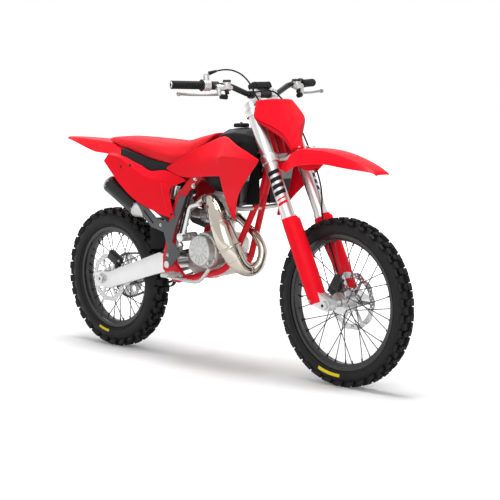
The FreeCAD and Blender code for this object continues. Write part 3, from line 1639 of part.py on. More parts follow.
def fuel_tank():
    """A closed tank astride the backbone, hollowed below for the cylinder head."""
    sections = []
    for along, top_share, bottom_share, wide in tank_shares:
        x = tank_back + tank_length * along
        top = tank_low + tank_height * top_share
        bottom = tank_low + tank_height * bottom_share
        half_width = tank_half_width * wide
        depth = top - bottom
        right = [(0.75, 0.0), (1.0, 0.2), (1.0, 0.7), (0.8, 0.92), (0.35, 1.0)]
        left = [(-share, up) for share, up in reversed(right)]
        sections.append([place(x, half_width * share, bottom + depth * up) for share, up in right + left])
    solid = loft(sections)
    room = backbone_radius + fit_gap
    head_middle = steer(0, 0, (head_low + head_high) / 2)
    backbone_end = place(cross_tube_reach, 0, cross_tube_height)
    solid = solid.cut(rod(head_middle, backbone_end, room))
    below = [
        (cross_tube_reach - cross_tube_radius - room, tank_low - room),
        (tank_back + 2 * tank_length, tank_low - room),
        (tank_back + 2 * tank_length, head_middle.z + seat_height),
        (head_middle.x + rider_reach, head_middle.z + seat_height),
        (cross_tube_reach - cross_tube_radius - room, cross_tube_height),
    ]
    solid = solid.cut(slab(below, -room, room))
    head_room = cylinder_radius + bolt_gap
    top = cross_tube_height
    block = [
        (cross_tube_reach - head_room, tank_low - room), (tank_back + 2 * tank_length, tank_low - room),
        (tank_back + 2 * tank_length, top), (cross_tube_reach - head_room, top),
    ]
    solid = solid.cut(slab(block, -head_room, head_room))
    cross_room = cross_tube_radius + bolt_gap
    solid = solid.cut(side_rod(cross_tube_reach, cross_tube_height, -spar_inside, spar_inside, cross_room))
    corner = [
        (0, 0), (cross_tube_reach + cross_room, 0), (cross_tube_reach + cross_room, cross_tube_height),
        (cross_tube_reach, cross_tube_height + cross_room), (0, cross_tube_height + cross_room),
    ]
    solid = solid.cut(slab(corner, -body_half_width, body_half_width))
    return max(solid.Solids, key=lambda one: one.Volume)


cap_reach = 756.0


def tank_cap():
    low = place(cap_reach, 0, tank_low + tank_height + fit_gap)
    high = low + FreeCAD.Vector(0, 0, cap_height)
    return rod(low, high, cap_radius)


radiator_low_reach = 858.0
radiator_high_reach = 888.0
radiator_yaw = 32.0
radiator_tank_height = 16.0
radiator_lean = 10.0


radiator_tab_radius = 6.0


def radiator_edge(z):
    """How far ahead and how far out a radiator's outer edge is at this height."""
    share = (z - radiator_low) / (radiator_high - radiator_low)
    reach = radiator_low_reach + (radiator_high_reach - radiator_low_reach) * share
    return reach, radiator_outside - (1 - share) * radiator_lean


def radiators():
    """Two cores between end tanks, their inner edges set back, each on a tab to the frame."""
    def level(z, grow):
        reach, outside = radiator_edge(z)
        half = radiator_thickness / 2 + grow
        inside = radiator_inside - grow
        return [
            place(reach - half - radiator_yaw, inside, z), place(reach + half - radiator_yaw, inside, z),
            place(reach + half, outside + grow, z), place(reach - half, outside + grow, z),
        ]

    low = radiator_low + radiator_tank_height
    high = radiator_high - radiator_tank_height
    core = loft([level(low, 0), level(high, 0)])
    bottom = loft([level(radiator_low, bolt_gap), level(low, bolt_gap)])
    top = loft([level(high, bolt_gap), level(radiator_high, bolt_gap)])
    height = (radiator_low + low) / 2
    tab = rod(
        place(radiator_low_reach - radiator_yaw, radiator_inside, height),
        place(split_reach - split_half_width, split_half_width, height),
        radiator_tab_radius,
    )
    tab = tab.cut(cradle_tube(1, cradle_radius + fit_gap))
    return pair(core.fuse(bottom).fuse(top).fuse(tab).removeSplitter())


# Foot controls

peg_reach = 500.0
peg_height = 358.0
peg_length = 74.0
peg_half_width = 20.0
peg_thickness = 14.0
pedal_radius = 7.0


def foot_controls():
    """Both footpegs, the brake pedal on the right and the gear lever on the left."""
    inside = spar_outside + fit_gap
    outline = [
        (peg_reach - peg_half_width, peg_height - peg_thickness / 2),
        (peg_reach + peg_half_width, peg_height - peg_thickness / 2),
        (peg_reach + peg_half_width, peg_height + peg_thickness / 2),
        (peg_reach - peg_half_width, peg_height + peg_thickness / 2),
    ]
    rows = [slab(outline, inside, inside + peg_length), slab(outline, -inside - peg_length, -inside)]
    side = inside + pedal_radius
    reach = clutch_outside + 2 * pedal_radius
    low = peg_height - peg_thickness / 2 - pedal_radius - bolt_gap
    brake = tube([
        place(peg_reach - peg_half_width, -side, low), place(peg_reach + peg_half_width, -side, low),
        place(peg_reach + 4 * peg_half_width, -reach, low),
        place(peg_reach + 8 * peg_half_width, -reach, low),
        place(peg_reach + 11 * peg_half_width, -reach, low + 3 * peg_half_width),
    ], pedal_radius)
    rows.append(brake)
    gear_low = peg_height + 2 * peg_thickness
    gear = tube([
        place(peg_reach + 2 * peg_half_width, case_half_width + fit_gap, gear_low),
        place(peg_reach + 2 * peg_half_width, side, gear_low),
        place(peg_reach + 9 * peg_half_width, side, gear_low + pedal_radius),
        place(peg_reach + 9 * peg_half_width, side + 2 * peg_half_width, gear_low + pedal_radius),
    ], pedal_radius, 0.3)
    rows.append(gear)
    return Part.makeCompound(rows)


kick_knee_reach = 606.0
kick_knee_height = 634.0
kick_tip_reach = 692.0
kick_tip_height = 650.0


def kick_lever():
    low = kick_boss_end + fit_gap
    solid = side_rod(kick_reach, kick_height, -low - 2 * kick_boss_radius, -low, kick_boss_radius)
    side = low + kick_boss_radius
    arm = tube([
        place(kick_reach, -side, kick_height),
        place(kick_knee_reach, -side - pedal_radius, kick_knee_height),
        place(kick_tip_reach, -side - 5 * pedal_radius, kick_tip_height),
    ], pedal_radius * 1.2, 0.2)
    return solid.fuse(arm).removeSplitter()


def wheels():
    front = front_axle_point
    rear = rear_axle_point
    rear_bore = hub_barrel_radius + hub_flange_thickness + fit_gap
    front_left = front_disc_side + disc_thickness + fit_gap
    rear_left = chain_side + sprocket_half_thickness + fit_gap
    front_right = -front_hub_half_width - fit_gap
    rear_right = -rear_disc_side - disc_thickness - fit_gap
    front_tyre = tyre(
        front, front_tyre_radius, front_tyre_half_width, front_bead_radius, front_rim_half_width,
        front_tread_pitches)
    rear_tyre = tyre(
        rear, rear_tyre_radius, rear_tyre_half_width, rear_bead_radius, rear_rim_half_width,
        rear_tread_pitches)
    return {
        "front_tyre": front_tyre,
        "front_rim": rim(front, front_bead_radius, front_rim_half_width),
        "front_spokes": spokes(front, front_bead_radius, front_hub_flange_radius, front_hub_half_width),
        "front_hub": hub(front, front_hub_flange_radius, front_hub_half_width, front_left, front_right),
        "front_disc": brake_disc(front, front_disc_side, front_disc_radius, 10),
        "rear_tyre": rear_tyre,
        "rear_rim": rim(rear, rear_bead_radius, rear_rim_half_width),
        "rear_spokes": spokes(rear, rear_bead_radius, rear_hub_flange_radius, rear_hub_half_width),
        "rear_hub": hub(rear, rear_hub_flange_radius, rear_hub_half_width, rear_left, rear_right),
        "rear_disc": brake_disc(rear, -rear_disc_side - disc_thickness, rear_disc_radius, 10),
        "rear_sprocket": sprocket(rear, rear_pitch_radius, rear_sprocket_teeth, rear_bore),
    }


def chassis():
    rear_disc_low = -rear_disc_side - disc_thickness
    return {
        "frame": frame(),
        "subframe": subframe(),
        "swingarm": swingarm(),
        "rear_axle": rear_axle(),
        "rear_caliper": caliper(rear_axle_point, rear_disc_low, 62, -arm_inside + fit_gap),
        "shock_body": shock_body(),
        "shock_spring": shock_spring(),
        "chain": chain(),
        "crankcase": crankcase(),
        "clutch_cover": clutch_cover(),
        "cylinder": cylinder(),
        "carburettor": carburettor(),
        "airbox": airbox(),
        "exhaust_pipe": exhaust_pipe(),
        "silencer": silencer(),
        "radiators": radiators(),
        "shrouds": shrouds(),
        "side_panels": side_panels(),
        "frame_guards": frame_guards(),
        "rear_fender": rear_fender(),
        "mud_flap": mud_flap(),
        "seat": seat(),
        "fuel_tank": fuel_tank(),
        "tank_cap": tank_cap(),
        "foot_controls": foot_controls(),
        "kick_lever": kick_lever(),
    }


def steering():
    arm_side = leg_half_spacing - inner_tube_radius - fit_gap
    return {
        "fork_clamps": fork_clamps(),
        "outer_tubes": outer_tubes(),
        "lower_legs": lower_legs(),
        "fork_guards": fork_guards(),
        "front_fender": front_fender(),
        "number_plate": number_plate(),
        "handlebar": handlebar(),
        "bar_pad": bar_pad(),
        "grips": grips(),
        "throttle_housing": throttle_housing(),
        "right_controls": controls(-1),
        "left_controls": controls(1),
        "front_axle": front_axle(),
        "front_caliper": caliper(front_axle_point, front_disc_side, 148, arm_side),
        "steer_cables": steer_cables(),
    }


def main():
    os.makedirs("parts", exist_ok=True)
    for group in (chassis(), steering(), wheels()):
        for node, shape in group.items():
            shape.exportStep(os.path.join("parts", node + ".step"))


main()
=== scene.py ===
import json
import math

import bpy
from mathutils import Matrix, Vector


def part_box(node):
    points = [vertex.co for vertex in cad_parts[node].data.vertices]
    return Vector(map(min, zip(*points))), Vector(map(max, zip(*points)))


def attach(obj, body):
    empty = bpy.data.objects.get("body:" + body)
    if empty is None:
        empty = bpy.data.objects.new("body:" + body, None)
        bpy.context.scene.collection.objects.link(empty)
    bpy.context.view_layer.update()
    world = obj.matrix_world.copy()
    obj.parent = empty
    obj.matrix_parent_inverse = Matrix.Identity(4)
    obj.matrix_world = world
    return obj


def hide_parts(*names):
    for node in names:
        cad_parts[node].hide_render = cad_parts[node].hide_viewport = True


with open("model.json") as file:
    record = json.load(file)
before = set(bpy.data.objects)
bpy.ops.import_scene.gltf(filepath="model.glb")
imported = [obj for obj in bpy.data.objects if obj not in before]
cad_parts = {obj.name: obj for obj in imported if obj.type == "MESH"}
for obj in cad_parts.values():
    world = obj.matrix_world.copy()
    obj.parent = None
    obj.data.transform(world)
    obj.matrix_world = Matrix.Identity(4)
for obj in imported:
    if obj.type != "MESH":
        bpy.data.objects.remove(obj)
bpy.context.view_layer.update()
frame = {"nodes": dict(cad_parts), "record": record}

# Places are counted in millimetres from the ground under the rear axle, X forward, Y to the
# rider's left and Z up. Steering places are counted ahead of, beside and along the steering axis.

bike = {
    "riderReach": 452, "seatHeight": 874, "wheelbase": 1290, "rearRadius": 294, "frontRadius": 312,
    "rakeAngle": 25, "axleOffset": 72, "legOffset": 22, "legSpacing": 88,
}
rake = math.radians(bike["rakeAngle"])


def place(x, y, z):
    return Vector((x - bike["riderReach"], y, z - bike["seatHeight"])) / 1000


def steer(ahead, side, up):
    past = ahead - bike["axleOffset"]
    x = bike["wheelbase"] + past * math.cos(rake) - up * math.sin(rake)
    z = bike["frontRadius"] + past * math.sin(rake) + up * math.cos(rake)
    return place(x, side, z)


def legSpot(side, up):    # a place on the axis of the right (-1) or left (1) fork leg
    return steer(bike["legOffset"], side * bike["legSpacing"], up)


forward = Vector((1, 0, 0))
across = Vector((0, 1, 0))
upward = Vector((0, 0, 1))
steerAxis = Vector((-math.sin(rake), 0, math.cos(rake)))
steerAhead = Vector((math.cos(rake), 0, math.sin(rake)))
rearAxle = place(0, 0, bike["rearRadius"])
frontAxle = place(bike["wheelbase"], 0, bike["frontRadius"])


# Working tools. Radii and edges are in metres, the numbers in profiles and walls in millimetres.

def report(stage):
    print("stage:", stage, flush=True)


def activate(piece):
    if bpy.context.mode != "OBJECT":
        bpy.ops.object.mode_set(mode="OBJECT")
    bpy.ops.object.select_all(action="DESELECT")
    if piece:
        piece.select_set(True)
        bpy.context.view_layer.objects.active = piece
    return piece


def settle(piece):    # its place goes into its mesh
    activate(piece)
    bpy.ops.object.transform_apply(location=True, rotation=True, scale=True)
    return piece


def shape(piece, kind, **settings):    # a modifier, applied at once
    activate(piece)
    modifier = piece.modifiers.new(kind.title(), kind)
    for name, value in settings.items():
        setattr(modifier, name, value)
    bpy.ops.object.modifier_apply(modifier=modifier.name)
    return piece


def bevelled(piece, width, angle, segments=2, **settings):    # edges sharper than this angle are broken
    limit = math.radians(angle)
    return shape(
        piece, "BEVEL", width=width, segments=segments, limit_method="ANGLE", angle_limit=limit, **settings)


def cutAway(piece, cutter):
    shape(piece, "BOOLEAN", object=cutter, operation="DIFFERENCE", solver="EXACT")
    bpy.data.objects.remove(cutter)


def joined(pieces):
    for piece in pieces:
        settle(piece)
    activate(pieces[0])
    for piece in pieces:
        piece.select_set(True)
    if len(pieces) > 1:
        bpy.ops.object.join()
    return bpy.context.view_layer.objects.active


def editAll(piece, *steps):    # runs edit operators on the whole mesh
    activate(piece)
    bpy.ops.object.mode_set(mode="EDIT")
    bpy.ops.mesh.select_all(action="SELECT")
    for step in steps:
        step()
    bpy.ops.object.mode_set(mode="OBJECT")
    return piece


def tidyMesh(piece, distance=0.00002):
    return editAll(
        piece,
        lambda: bpy.ops.mesh.remove_doubles(threshold=distance),
        lambda: bpy.ops.mesh.normals_make_consistent(inside=False),
    )


def mirrorAcross(piece):
    settle(piece)
    shape(piece, "MIRROR", use_axis=(False, True, False), use_mirror_merge=False)
    return tidyMesh(piece)


def keep(piece, name, body, slot, replaced=None, smooth=35, look=None):
    settle(piece)
    piece.name = name
    piece.data.name = name
    if smooth:
        bpy.ops.object.shade_smooth_by_angle(angle=math.radians(smooth))
    piece.data.materials.clear()
    piece.data.materials.append(looks[look or slot])
    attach(piece, body)
    if replaced:
        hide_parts(replaced)
    return piece


def copyNode(name):    # the merged copy of a CAD node
    source = frame["nodes"][name]
    copy = bpy.data.objects.new(name + "_copy", source.data.copy())
    bpy.context.scene.collection.objects.link(copy)
    return editAll(
        copy,
        lambda: bpy.ops.mesh.remove_doubles(threshold=0.00001),
        lambda: bpy.ops.mesh.dissolve_limited(angle_limit=math.radians(1)),
    )


def rod(start, end, radius, sides=24, endRadius=None, soften=0):
    along = end - start
    activate(None)
    bpy.ops.mesh.primitive_cone_add(
        vertices=sides, radius1=radius, radius2=radius if endRadius is None else endRadius,
        depth=along.length, location=(start + end) / 2, rotation=along.to_track_quat("Z", "Y").to_euler(),
    )
    piece = settle(bpy.context.object)
    return bevelled(piece, soften, 50) if soften else piece


boltShares = {"washerTall": 0.25, "washerRadius": 1.35, "edge": 0.12}


def bolt(spot, outward, radius):    # a hexagon head on its washer
    outward = outward.normalized()
    seat = spot + outward * radius * boltShares["washerTall"]
    washer = rod(spot, seat, radius * boltShares["washerRadius"], sides=16)
    head = rod(seat, spot + outward * radius, radius, sides=6, soften=radius * boltShares["edge"])
    return joined([washer, head])


def ring(centre, profile, steps=96):    # a closed profile of (side, radius), spun about an axle
    activate(None)
    bpy.ops.mesh.primitive_circle_add(vertices=len(profile), radius=1, fill_type="NOTHING")
    piece = bpy.context.object
    for vertex, (side, radius) in zip(piece.data.vertices, profile):
        vertex.co = centre + Vector((0, side / 1000, radius / 1000))
    editAll(piece, lambda: bpy.ops.mesh.spin(steps=steps, angle=math.tau, center=centre, axis=across))
    return tidyMesh(piece)


def mirroredProfile(half):
    return half + [(-side, radius) for side, radius in reversed(half) if side != 0]


def lathed(start, direction, profile, steps=64):    # a closed profile of (distance along, radius)
    piece = ring(Vector((0, 0, 0)), profile, steps=steps)
    turn = across.rotation_difference(direction.normalized()).to_matrix().to_4x4()
    piece.data.transform(Matrix.Translation(start) @ turn)
    return tidyMesh(piece)


def turnedCopies(piece, centre, count, axis="Y"):    # copies all round an axle, in one mesh
    settle(piece)
    activate(None)
    bpy.ops.object.empty_add(location=centre)
    pivot = bpy.context.object
    turn = Matrix.Rotation(math.tau / count, 4, axis)
    piece.data.transform(Matrix.Translation(-centre))
    piece.location = centre
    pivot.matrix_world = Matrix.Translation(centre) @ turn
    bpy.context.view_layer.update()
    shape(
        piece, "ARRAY", count=count, use_relative_offset=False, use_object_offset=True,
        offset_object=pivot,
    )
    bpy.data.objects.remove(pivot)
    return settle(piece)


def sheetOf(rows):    # a grid of points, each row as long as the others
    activate(None)
    columns = len(rows[0])
    bpy.ops.mesh.primitive_grid_add(x_subdivisions=columns - 1, y_subdivisions=len(rows) - 1, size=1)
    piece = bpy.context.object
    for index, vertex in enumerate(piece.data.vertices):
        vertex.co = rows[index // columns][index % columns]
    return piece


def faceTowards(piece, direction):    # turns an open sheet's front to this direction
    total = Vector()
    for polygon in piece.data.polygons:
        total += polygon.normal * polygon.area
    if total.dot(direction) < 0:
        editAll(piece, lambda: bpy.ops.mesh.flip_normals())
    return piece


def creaseLayer(piece):
    layers = piece.data.attributes
    return layers.get("crease_edge") or layers.new("crease_edge", "FLOAT", "EDGE")


def creaseNear(piece, test, amount):    # sharper edges where both ends pass the test
    layer = creaseLayer(piece)
    for edge in piece.data.edges:
        first, second = (piece.data.vertices[index].co for index in edge.vertices)
        if test(first) and test(second):
            layer.data[edge.index].value = amount


def smoothWall(piece, thickness, levels=3, edge=0.0008, offset=-1):    # a smooth sheet given a wall
    shape(piece, "SUBSURF", levels=levels, render_levels=levels, boundary_smooth="PRESERVE_CORNERS")
    shape(piece, "SOLIDIFY", thickness=thickness / 1000, offset=offset, use_even_offset=True)
    return bevelled(piece, edge, 60) if edge else piece


def curveToMesh(piece):
    activate(piece)
    bpy.ops.object.convert(target="MESH")
    return settle(bpy.context.object)


def wire(points, radius, smoothness=12, radii=None):    # a round wire along a smooth line
    activate(None)
    bpy.ops.curve.primitive_nurbs_path_add()
    piece = bpy.context.object
    piece.location = (0, 0, 0)
    data = piece.data
    data.splines.clear()
    spline = data.splines.new("NURBS")
    spline.points.add(len(points) - 1)
    for index, (spot, point) in enumerate(zip(spline.points, points)):
        spot.co = (*point, 1)
        if radii:
            spot.radius = radii[index]
    spline.order_u = 3
    spline.use_endpoint_u = True
    data.dimensions = "3D"
    data.resolution_u = smoothness
    data.bevel_depth = radius
    data.bevel_resolution = 4
    data.use_fill_caps = True
    return curveToMesh(piece)


clothSettings = {"quality": 5, "use_pressure": True, "tension_stiffness": 40, "compression_stiffness": 40,
                 "bending_stiffness": 8}


def swell(piece, pressure, steps, cap):    # a soft cover under pressure, moved by no more than the cap
    rest = [vertex.co.copy() for vertex in piece.data.vertices]
    activate(piece)
    cloth = piece.modifiers.new("Cloth", "CLOTH")
    for name, value in clothSettings.items():
        setattr(cloth.settings, name, value)
    cloth.settings.uniform_pressure_force = pressure
    cloth.settings.effector_weights.gravity = 0
    for step in range(1, steps + 1):
        bpy.context.scene.frame_set(step)
    bpy.ops.object.modifier_apply(modifier=cloth.name)
    bpy.context.scene.frame_set(1)
    for vertex, start in zip(piece.data.vertices, rest):
        shift = vertex.co - start
        if shift.length > cap:
            vertex.co = start + shift.normalized() * cap
    return rest


# Camera, floor and light

stageLook = {
    "cameraPlace": (4.6368, -4.2078, 0.2814), "cameraTarget": (0.346, 0, -0.407), "cameraRoll": -0.434,
    "lens": 112.5, "sensor": 36, "floorSize": 60, "floorColour": (0.8, 0.8, 0.8, 1), "floorGlow": 0.12,
    "fadeStart": 1.1, "fadeEnd": 3.2, "skyColour": (1, 1, 1, 1), "skyStrength": 0.36,
    "lampAim": (0.2, 0, -0.4),
    "lamps": (    # name, place, size, watts
        ("key", (0.3, -0.1, 3.8), 2.2, 215),
        ("fill", (3.2, -3.4, 1.8), 3.0, 72),
        ("rim", (-2.6, 1.2, 2.8), 2.2, 30),
    ),
}


def addCamera():
    camera = bpy.data.objects.new("camera", bpy.data.cameras.new("camera"))
    bpy.context.scene.collection.objects.link(camera)
    spot = Vector(stageLook["cameraPlace"])
    view = (Vector(stageLook["cameraTarget"]) - spot).to_track_quat("-Z", "Y").to_matrix().to_4x4()
    roll = Matrix.Rotation(math.radians(stageLook["cameraRoll"]), 4, "Z")
    camera.matrix_world = Matrix.Translation(spot) @ view @ roll
    camera.data.lens = stageLook["lens"]
    camera.data.sensor_width = stageLook["sensor"]
    bpy.context.scene.camera = camera


def rangeNode(tree, source, low, high):
    node = tree.nodes.new("ShaderNodeMapRange")
    tree.links.new(source, node.inputs["Value"])
    node.inputs["From Min"].default_value = low
    node.inputs["From Max"].default_value = high
    return node


def mathNode(tree, operation, *sources, clamped=False):
    node = tree.nodes.new("ShaderNodeMath")
    node.operation = operation
    node.use_clamp = clamped
    for source, socket in zip(sources, node.inputs):
        if isinstance(source, (int, float)):
            socket.default_value = source
        else:
            tree.links.new(source, socket)
    return node.outputs[0]


def bumpNode(tree, height, strength, distance):
    node = tree.nodes.new("ShaderNodeBump")
    node.inputs["Strength"].default_value = strength
    node.inputs["Distance"].default_value = distance
    tree.links.new(height, node.inputs["Height"])
    return node


def backgroundSeen(tree):    # true for what the camera, a mirror or glass sees
    rays = tree.nodes.new("ShaderNodeLightPath").outputs
    seen = mathNode(tree, "MAXIMUM", rays["Is Camera Ray"], rays["Is Glossy Ray"])
    return mathNode(tree, "MAXIMUM", seen, rays["Is Transmission Ray"])


def addFloor():
    activate(None)
    bpy.ops.mesh.primitive_plane_add(size=stageLook["floorSize"], location=place(bike["riderReach"], 0, 0))
    floor = bpy.context.object
    floor.name = "floor"
    material = bpy.data.materials.new("studio floor")
    material.use_nodes = True
    tree = material.node_tree
    tree.nodes.clear()
    surface = tree.nodes.new("ShaderNodeBsdfDiffuse")
    surface.inputs["Color"].default_value = stageLook["floorColour"]
    glow = tree.nodes.new("ShaderNodeEmission")
    coordinates = tree.nodes.new("ShaderNodeTexCoord")
    reach = tree.nodes.new("ShaderNodeVectorMath")
    reach.operation = "LENGTH"
    tree.links.new(coordinates.outputs["Object"], reach.inputs[0])
    fade = rangeNode(tree, reach.outputs["Value"], stageLook["fadeStart"], stageLook["fadeEnd"])
    fade.inputs["To Min"].default_value = stageLook["floorGlow"]
    strength = mathNode(tree, "MULTIPLY", backgroundSeen(tree), fade.outputs["Result"])
    tree.links.new(strength, glow.inputs["Strength"])
    both = tree.nodes.new("ShaderNodeAddShader")
    output = tree.nodes.new("ShaderNodeOutputMaterial")
    tree.links.new(surface.outputs[0], both.inputs[0])
    tree.links.new(glow.outputs[0], both.inputs[1])
    tree.links.new(both.outputs[0], output.inputs["Surface"])
    floor.data.materials.append(material)


def addLight(name, spot, size, watts):
    lamp = bpy.data.lights.new(name, "AREA")
    lamp.shape = "SQUARE"
    lamp.size = size
    lamp.energy = watts
    piece = bpy.data.objects.new(name, lamp)
    bpy.context.scene.collection.objects.link(piece)
    aim = Vector(stageLook["lampAim"]) - Vector(spot)
    piece.matrix_world = Matrix.Translation(spot) @ aim.to_track_quat("-Z", "Y").to_matrix().to_4x4()


def addSky():    # dim light from all round, and plain white behind the bike
    world = bpy.data.worlds.new("studio")
    bpy.context.scene.world = world
    world.use_nodes = True
    tree = world.node_tree
    tree.nodes.clear()
    mix = tree.nodes.new("ShaderNodeMixShader")
    tree.links.new(backgroundSeen(tree), mix.inputs[0])
    for socket, strength in ((mix.inputs[1], stageLook["skyStrength"]), (mix.inputs[2], 1)):
        sky = tree.nodes.new("ShaderNodeBackground")
        sky.inputs["Color"].default_value = stageLook["skyColour"]
        sky.inputs["Strength"].default_value = strength
        tree.links.new(sky.outputs[0], socket)
    output = tree.nodes.new("ShaderNodeOutputWorld")
    tree.links.new(mix.outputs[0], output.inputs["Surface"])


def buildStage():
    addCamera()
    addFloor()
    addSky()
    for lamp in stageLook["lamps"]:
        addLight(*lamp)
    bpy.context.scene.view_settings.view_transform = "Standard"
    report("camera, floor and light")


# Finishes. Each group gives values that change over the surface.

grouping = {
    "toneRange": (0.3, 0.7), "toneDetail": 5, "polishRange": (0.35, 0.7), "polishDetail": 6,
    "polishScale": 18, "fineDetail": 3, "broadDetail": 1, "broadScale": 9, "reliefDepth": 0.001,
}


def newGroup(name, inputs, output, outputKind):
    group = bpy.data.node_groups.new(name, "ShaderNodeTree")
    for label, kind, value in inputs:
        socket = group.interface.new_socket(name=label, in_out="INPUT", socket_type=kind)
        socket.default_value = value
    group.interface.new_socket(name=output, in_out="OUTPUT", socket_type=outputKind)
    return group, group.nodes.new("NodeGroupInput").outputs, group.nodes.new("NodeGroupOutput").inputs[output]


def noiseNode(tree, detail):
    node = tree.nodes.new("ShaderNodeTexNoise")
    node.inputs["Detail"].default_value = detail
    coordinates = tree.nodes.new("ShaderNodeTexCoord")
    tree.links.new(coordinates.outputs["Object"], node.inputs["Vector"])
    return node


def toneGroup():    # a colour that wanders a little lighter and darker
    inputs = (("Colour", "NodeSocketColor", (1, 1, 1, 1)), ("Amount", "NodeSocketFloat", 0.1),
              ("Scale", "NodeSocketFloat", 6))
    group, given, result = newGroup("colour drift", inputs, "Colour", "NodeSocketColor")
    noise = noiseNode(group, grouping["toneDetail"])
    group.links.new(given["Scale"], noise.inputs["Scale"])
    spread = rangeNode(group, noise.outputs["Fac"], *grouping["toneRange"])
    spread.inputs["To Min"].default_value = -1
    spread.inputs["To Max"].default_value = 1
    hue = group.nodes.new("ShaderNodeHueSaturation")
    lighter = mathNode(group, "MULTIPLY_ADD", spread.outputs["Result"], given["Amount"], 1)
    group.links.new(lighter, hue.inputs["Value"])
    group.links.new(given["Colour"], hue.inputs["Color"])
    group.links.new(hue.outputs["Color"], result)
    return group


def roughGroup():    # a roughness with handled and wiped patches
    inputs = (("Roughness", "NodeSocketFloat", 0.4), ("Amount", "NodeSocketFloat", 0.1),
              ("Scale", "NodeSocketFloat", 20))
    group, given, result = newGroup("uneven polish", inputs, "Roughness", "NodeSocketFloat")
    noise = noiseNode(group, grouping["polishDetail"])
    group.links.new(given["Scale"], noise.inputs["Scale"])
    spread = rangeNode(group, noise.outputs["Fac"], *grouping["polishRange"])
    sources = (spread.outputs["Result"], given["Amount"], given["Roughness"])
    group.links.new(mathNode(group, "MULTIPLY_ADD", *sources, clamped=True), result)
    return group


def grainGroup():    # the small relief of moulding, casting or rubber
    inputs = (("Scale", "NodeSocketFloat", 400), ("Waviness", "NodeSocketFloat", 0.2))
    group, given, result = newGroup("fine relief", inputs, "Height", "NodeSocketFloat")
    fine = noiseNode(group, grouping["fineDetail"])
    group.links.new(given["Scale"], fine.inputs["Scale"])
    broad = noiseNode(group, grouping["broadDetail"])
    broad.inputs["Scale"].default_value = grouping["broadScale"]
    mixed = group.nodes.new("ShaderNodeMix")
    group.links.new(given["Waviness"], mixed.inputs["Factor"])
    group.links.new(fine.outputs["Fac"], mixed.inputs["A"])
    group.links.new(broad.outputs["Fac"], mixed.inputs["B"])
    group.links.new(mixed.outputs["Result"], result)
    return group


def groupNode(tree, group, **values):
    node = tree.nodes.new("ShaderNodeGroup")
    node.node_tree = group
    for label, value in values.items():
        node.inputs[label].default_value = value
    return node


def finish(name, colour, roughness, metallic=0.0, drift=0.06, driftScale=5, uneven=0.08,
           grain=600, relief=0.05, wavy=0.1, coat=0.0, coatRoughness=0.05, level=0.5):
    material = bpy.data.materials.new(name)
    material.use_nodes = True
    tree = material.node_tree
    shader = tree.nodes["Principled BSDF"]
    shader.inputs["Metallic"].default_value = metallic
    shader.inputs["Coat Weight"].default_value = coat
    shader.inputs["Coat Roughness"].default_value = coatRoughness
    shader.inputs["Specular IOR Level"].default_value = level
    tone = groupNode(tree, groups["tone"], Colour=(*colour, 1), Amount=drift, Scale=driftScale)
    tree.links.new(tone.outputs["Colour"], shader.inputs["Base Color"])
    polish = groupNode(
        tree, groups["rough"], Roughness=roughness, Amount=uneven, Scale=grouping["polishScale"])
    tree.links.new(polish.outputs["Roughness"], shader.inputs["Roughness"])
    texture = groupNode(tree, groups["grain"], Scale=grain, Waviness=wavy)
    bump = bumpNode(tree, texture.outputs["Height"], relief, grouping["reliefDepth"])
    tree.links.new(bump.outputs["Normal"], shader.inputs["Normal"])
    return material


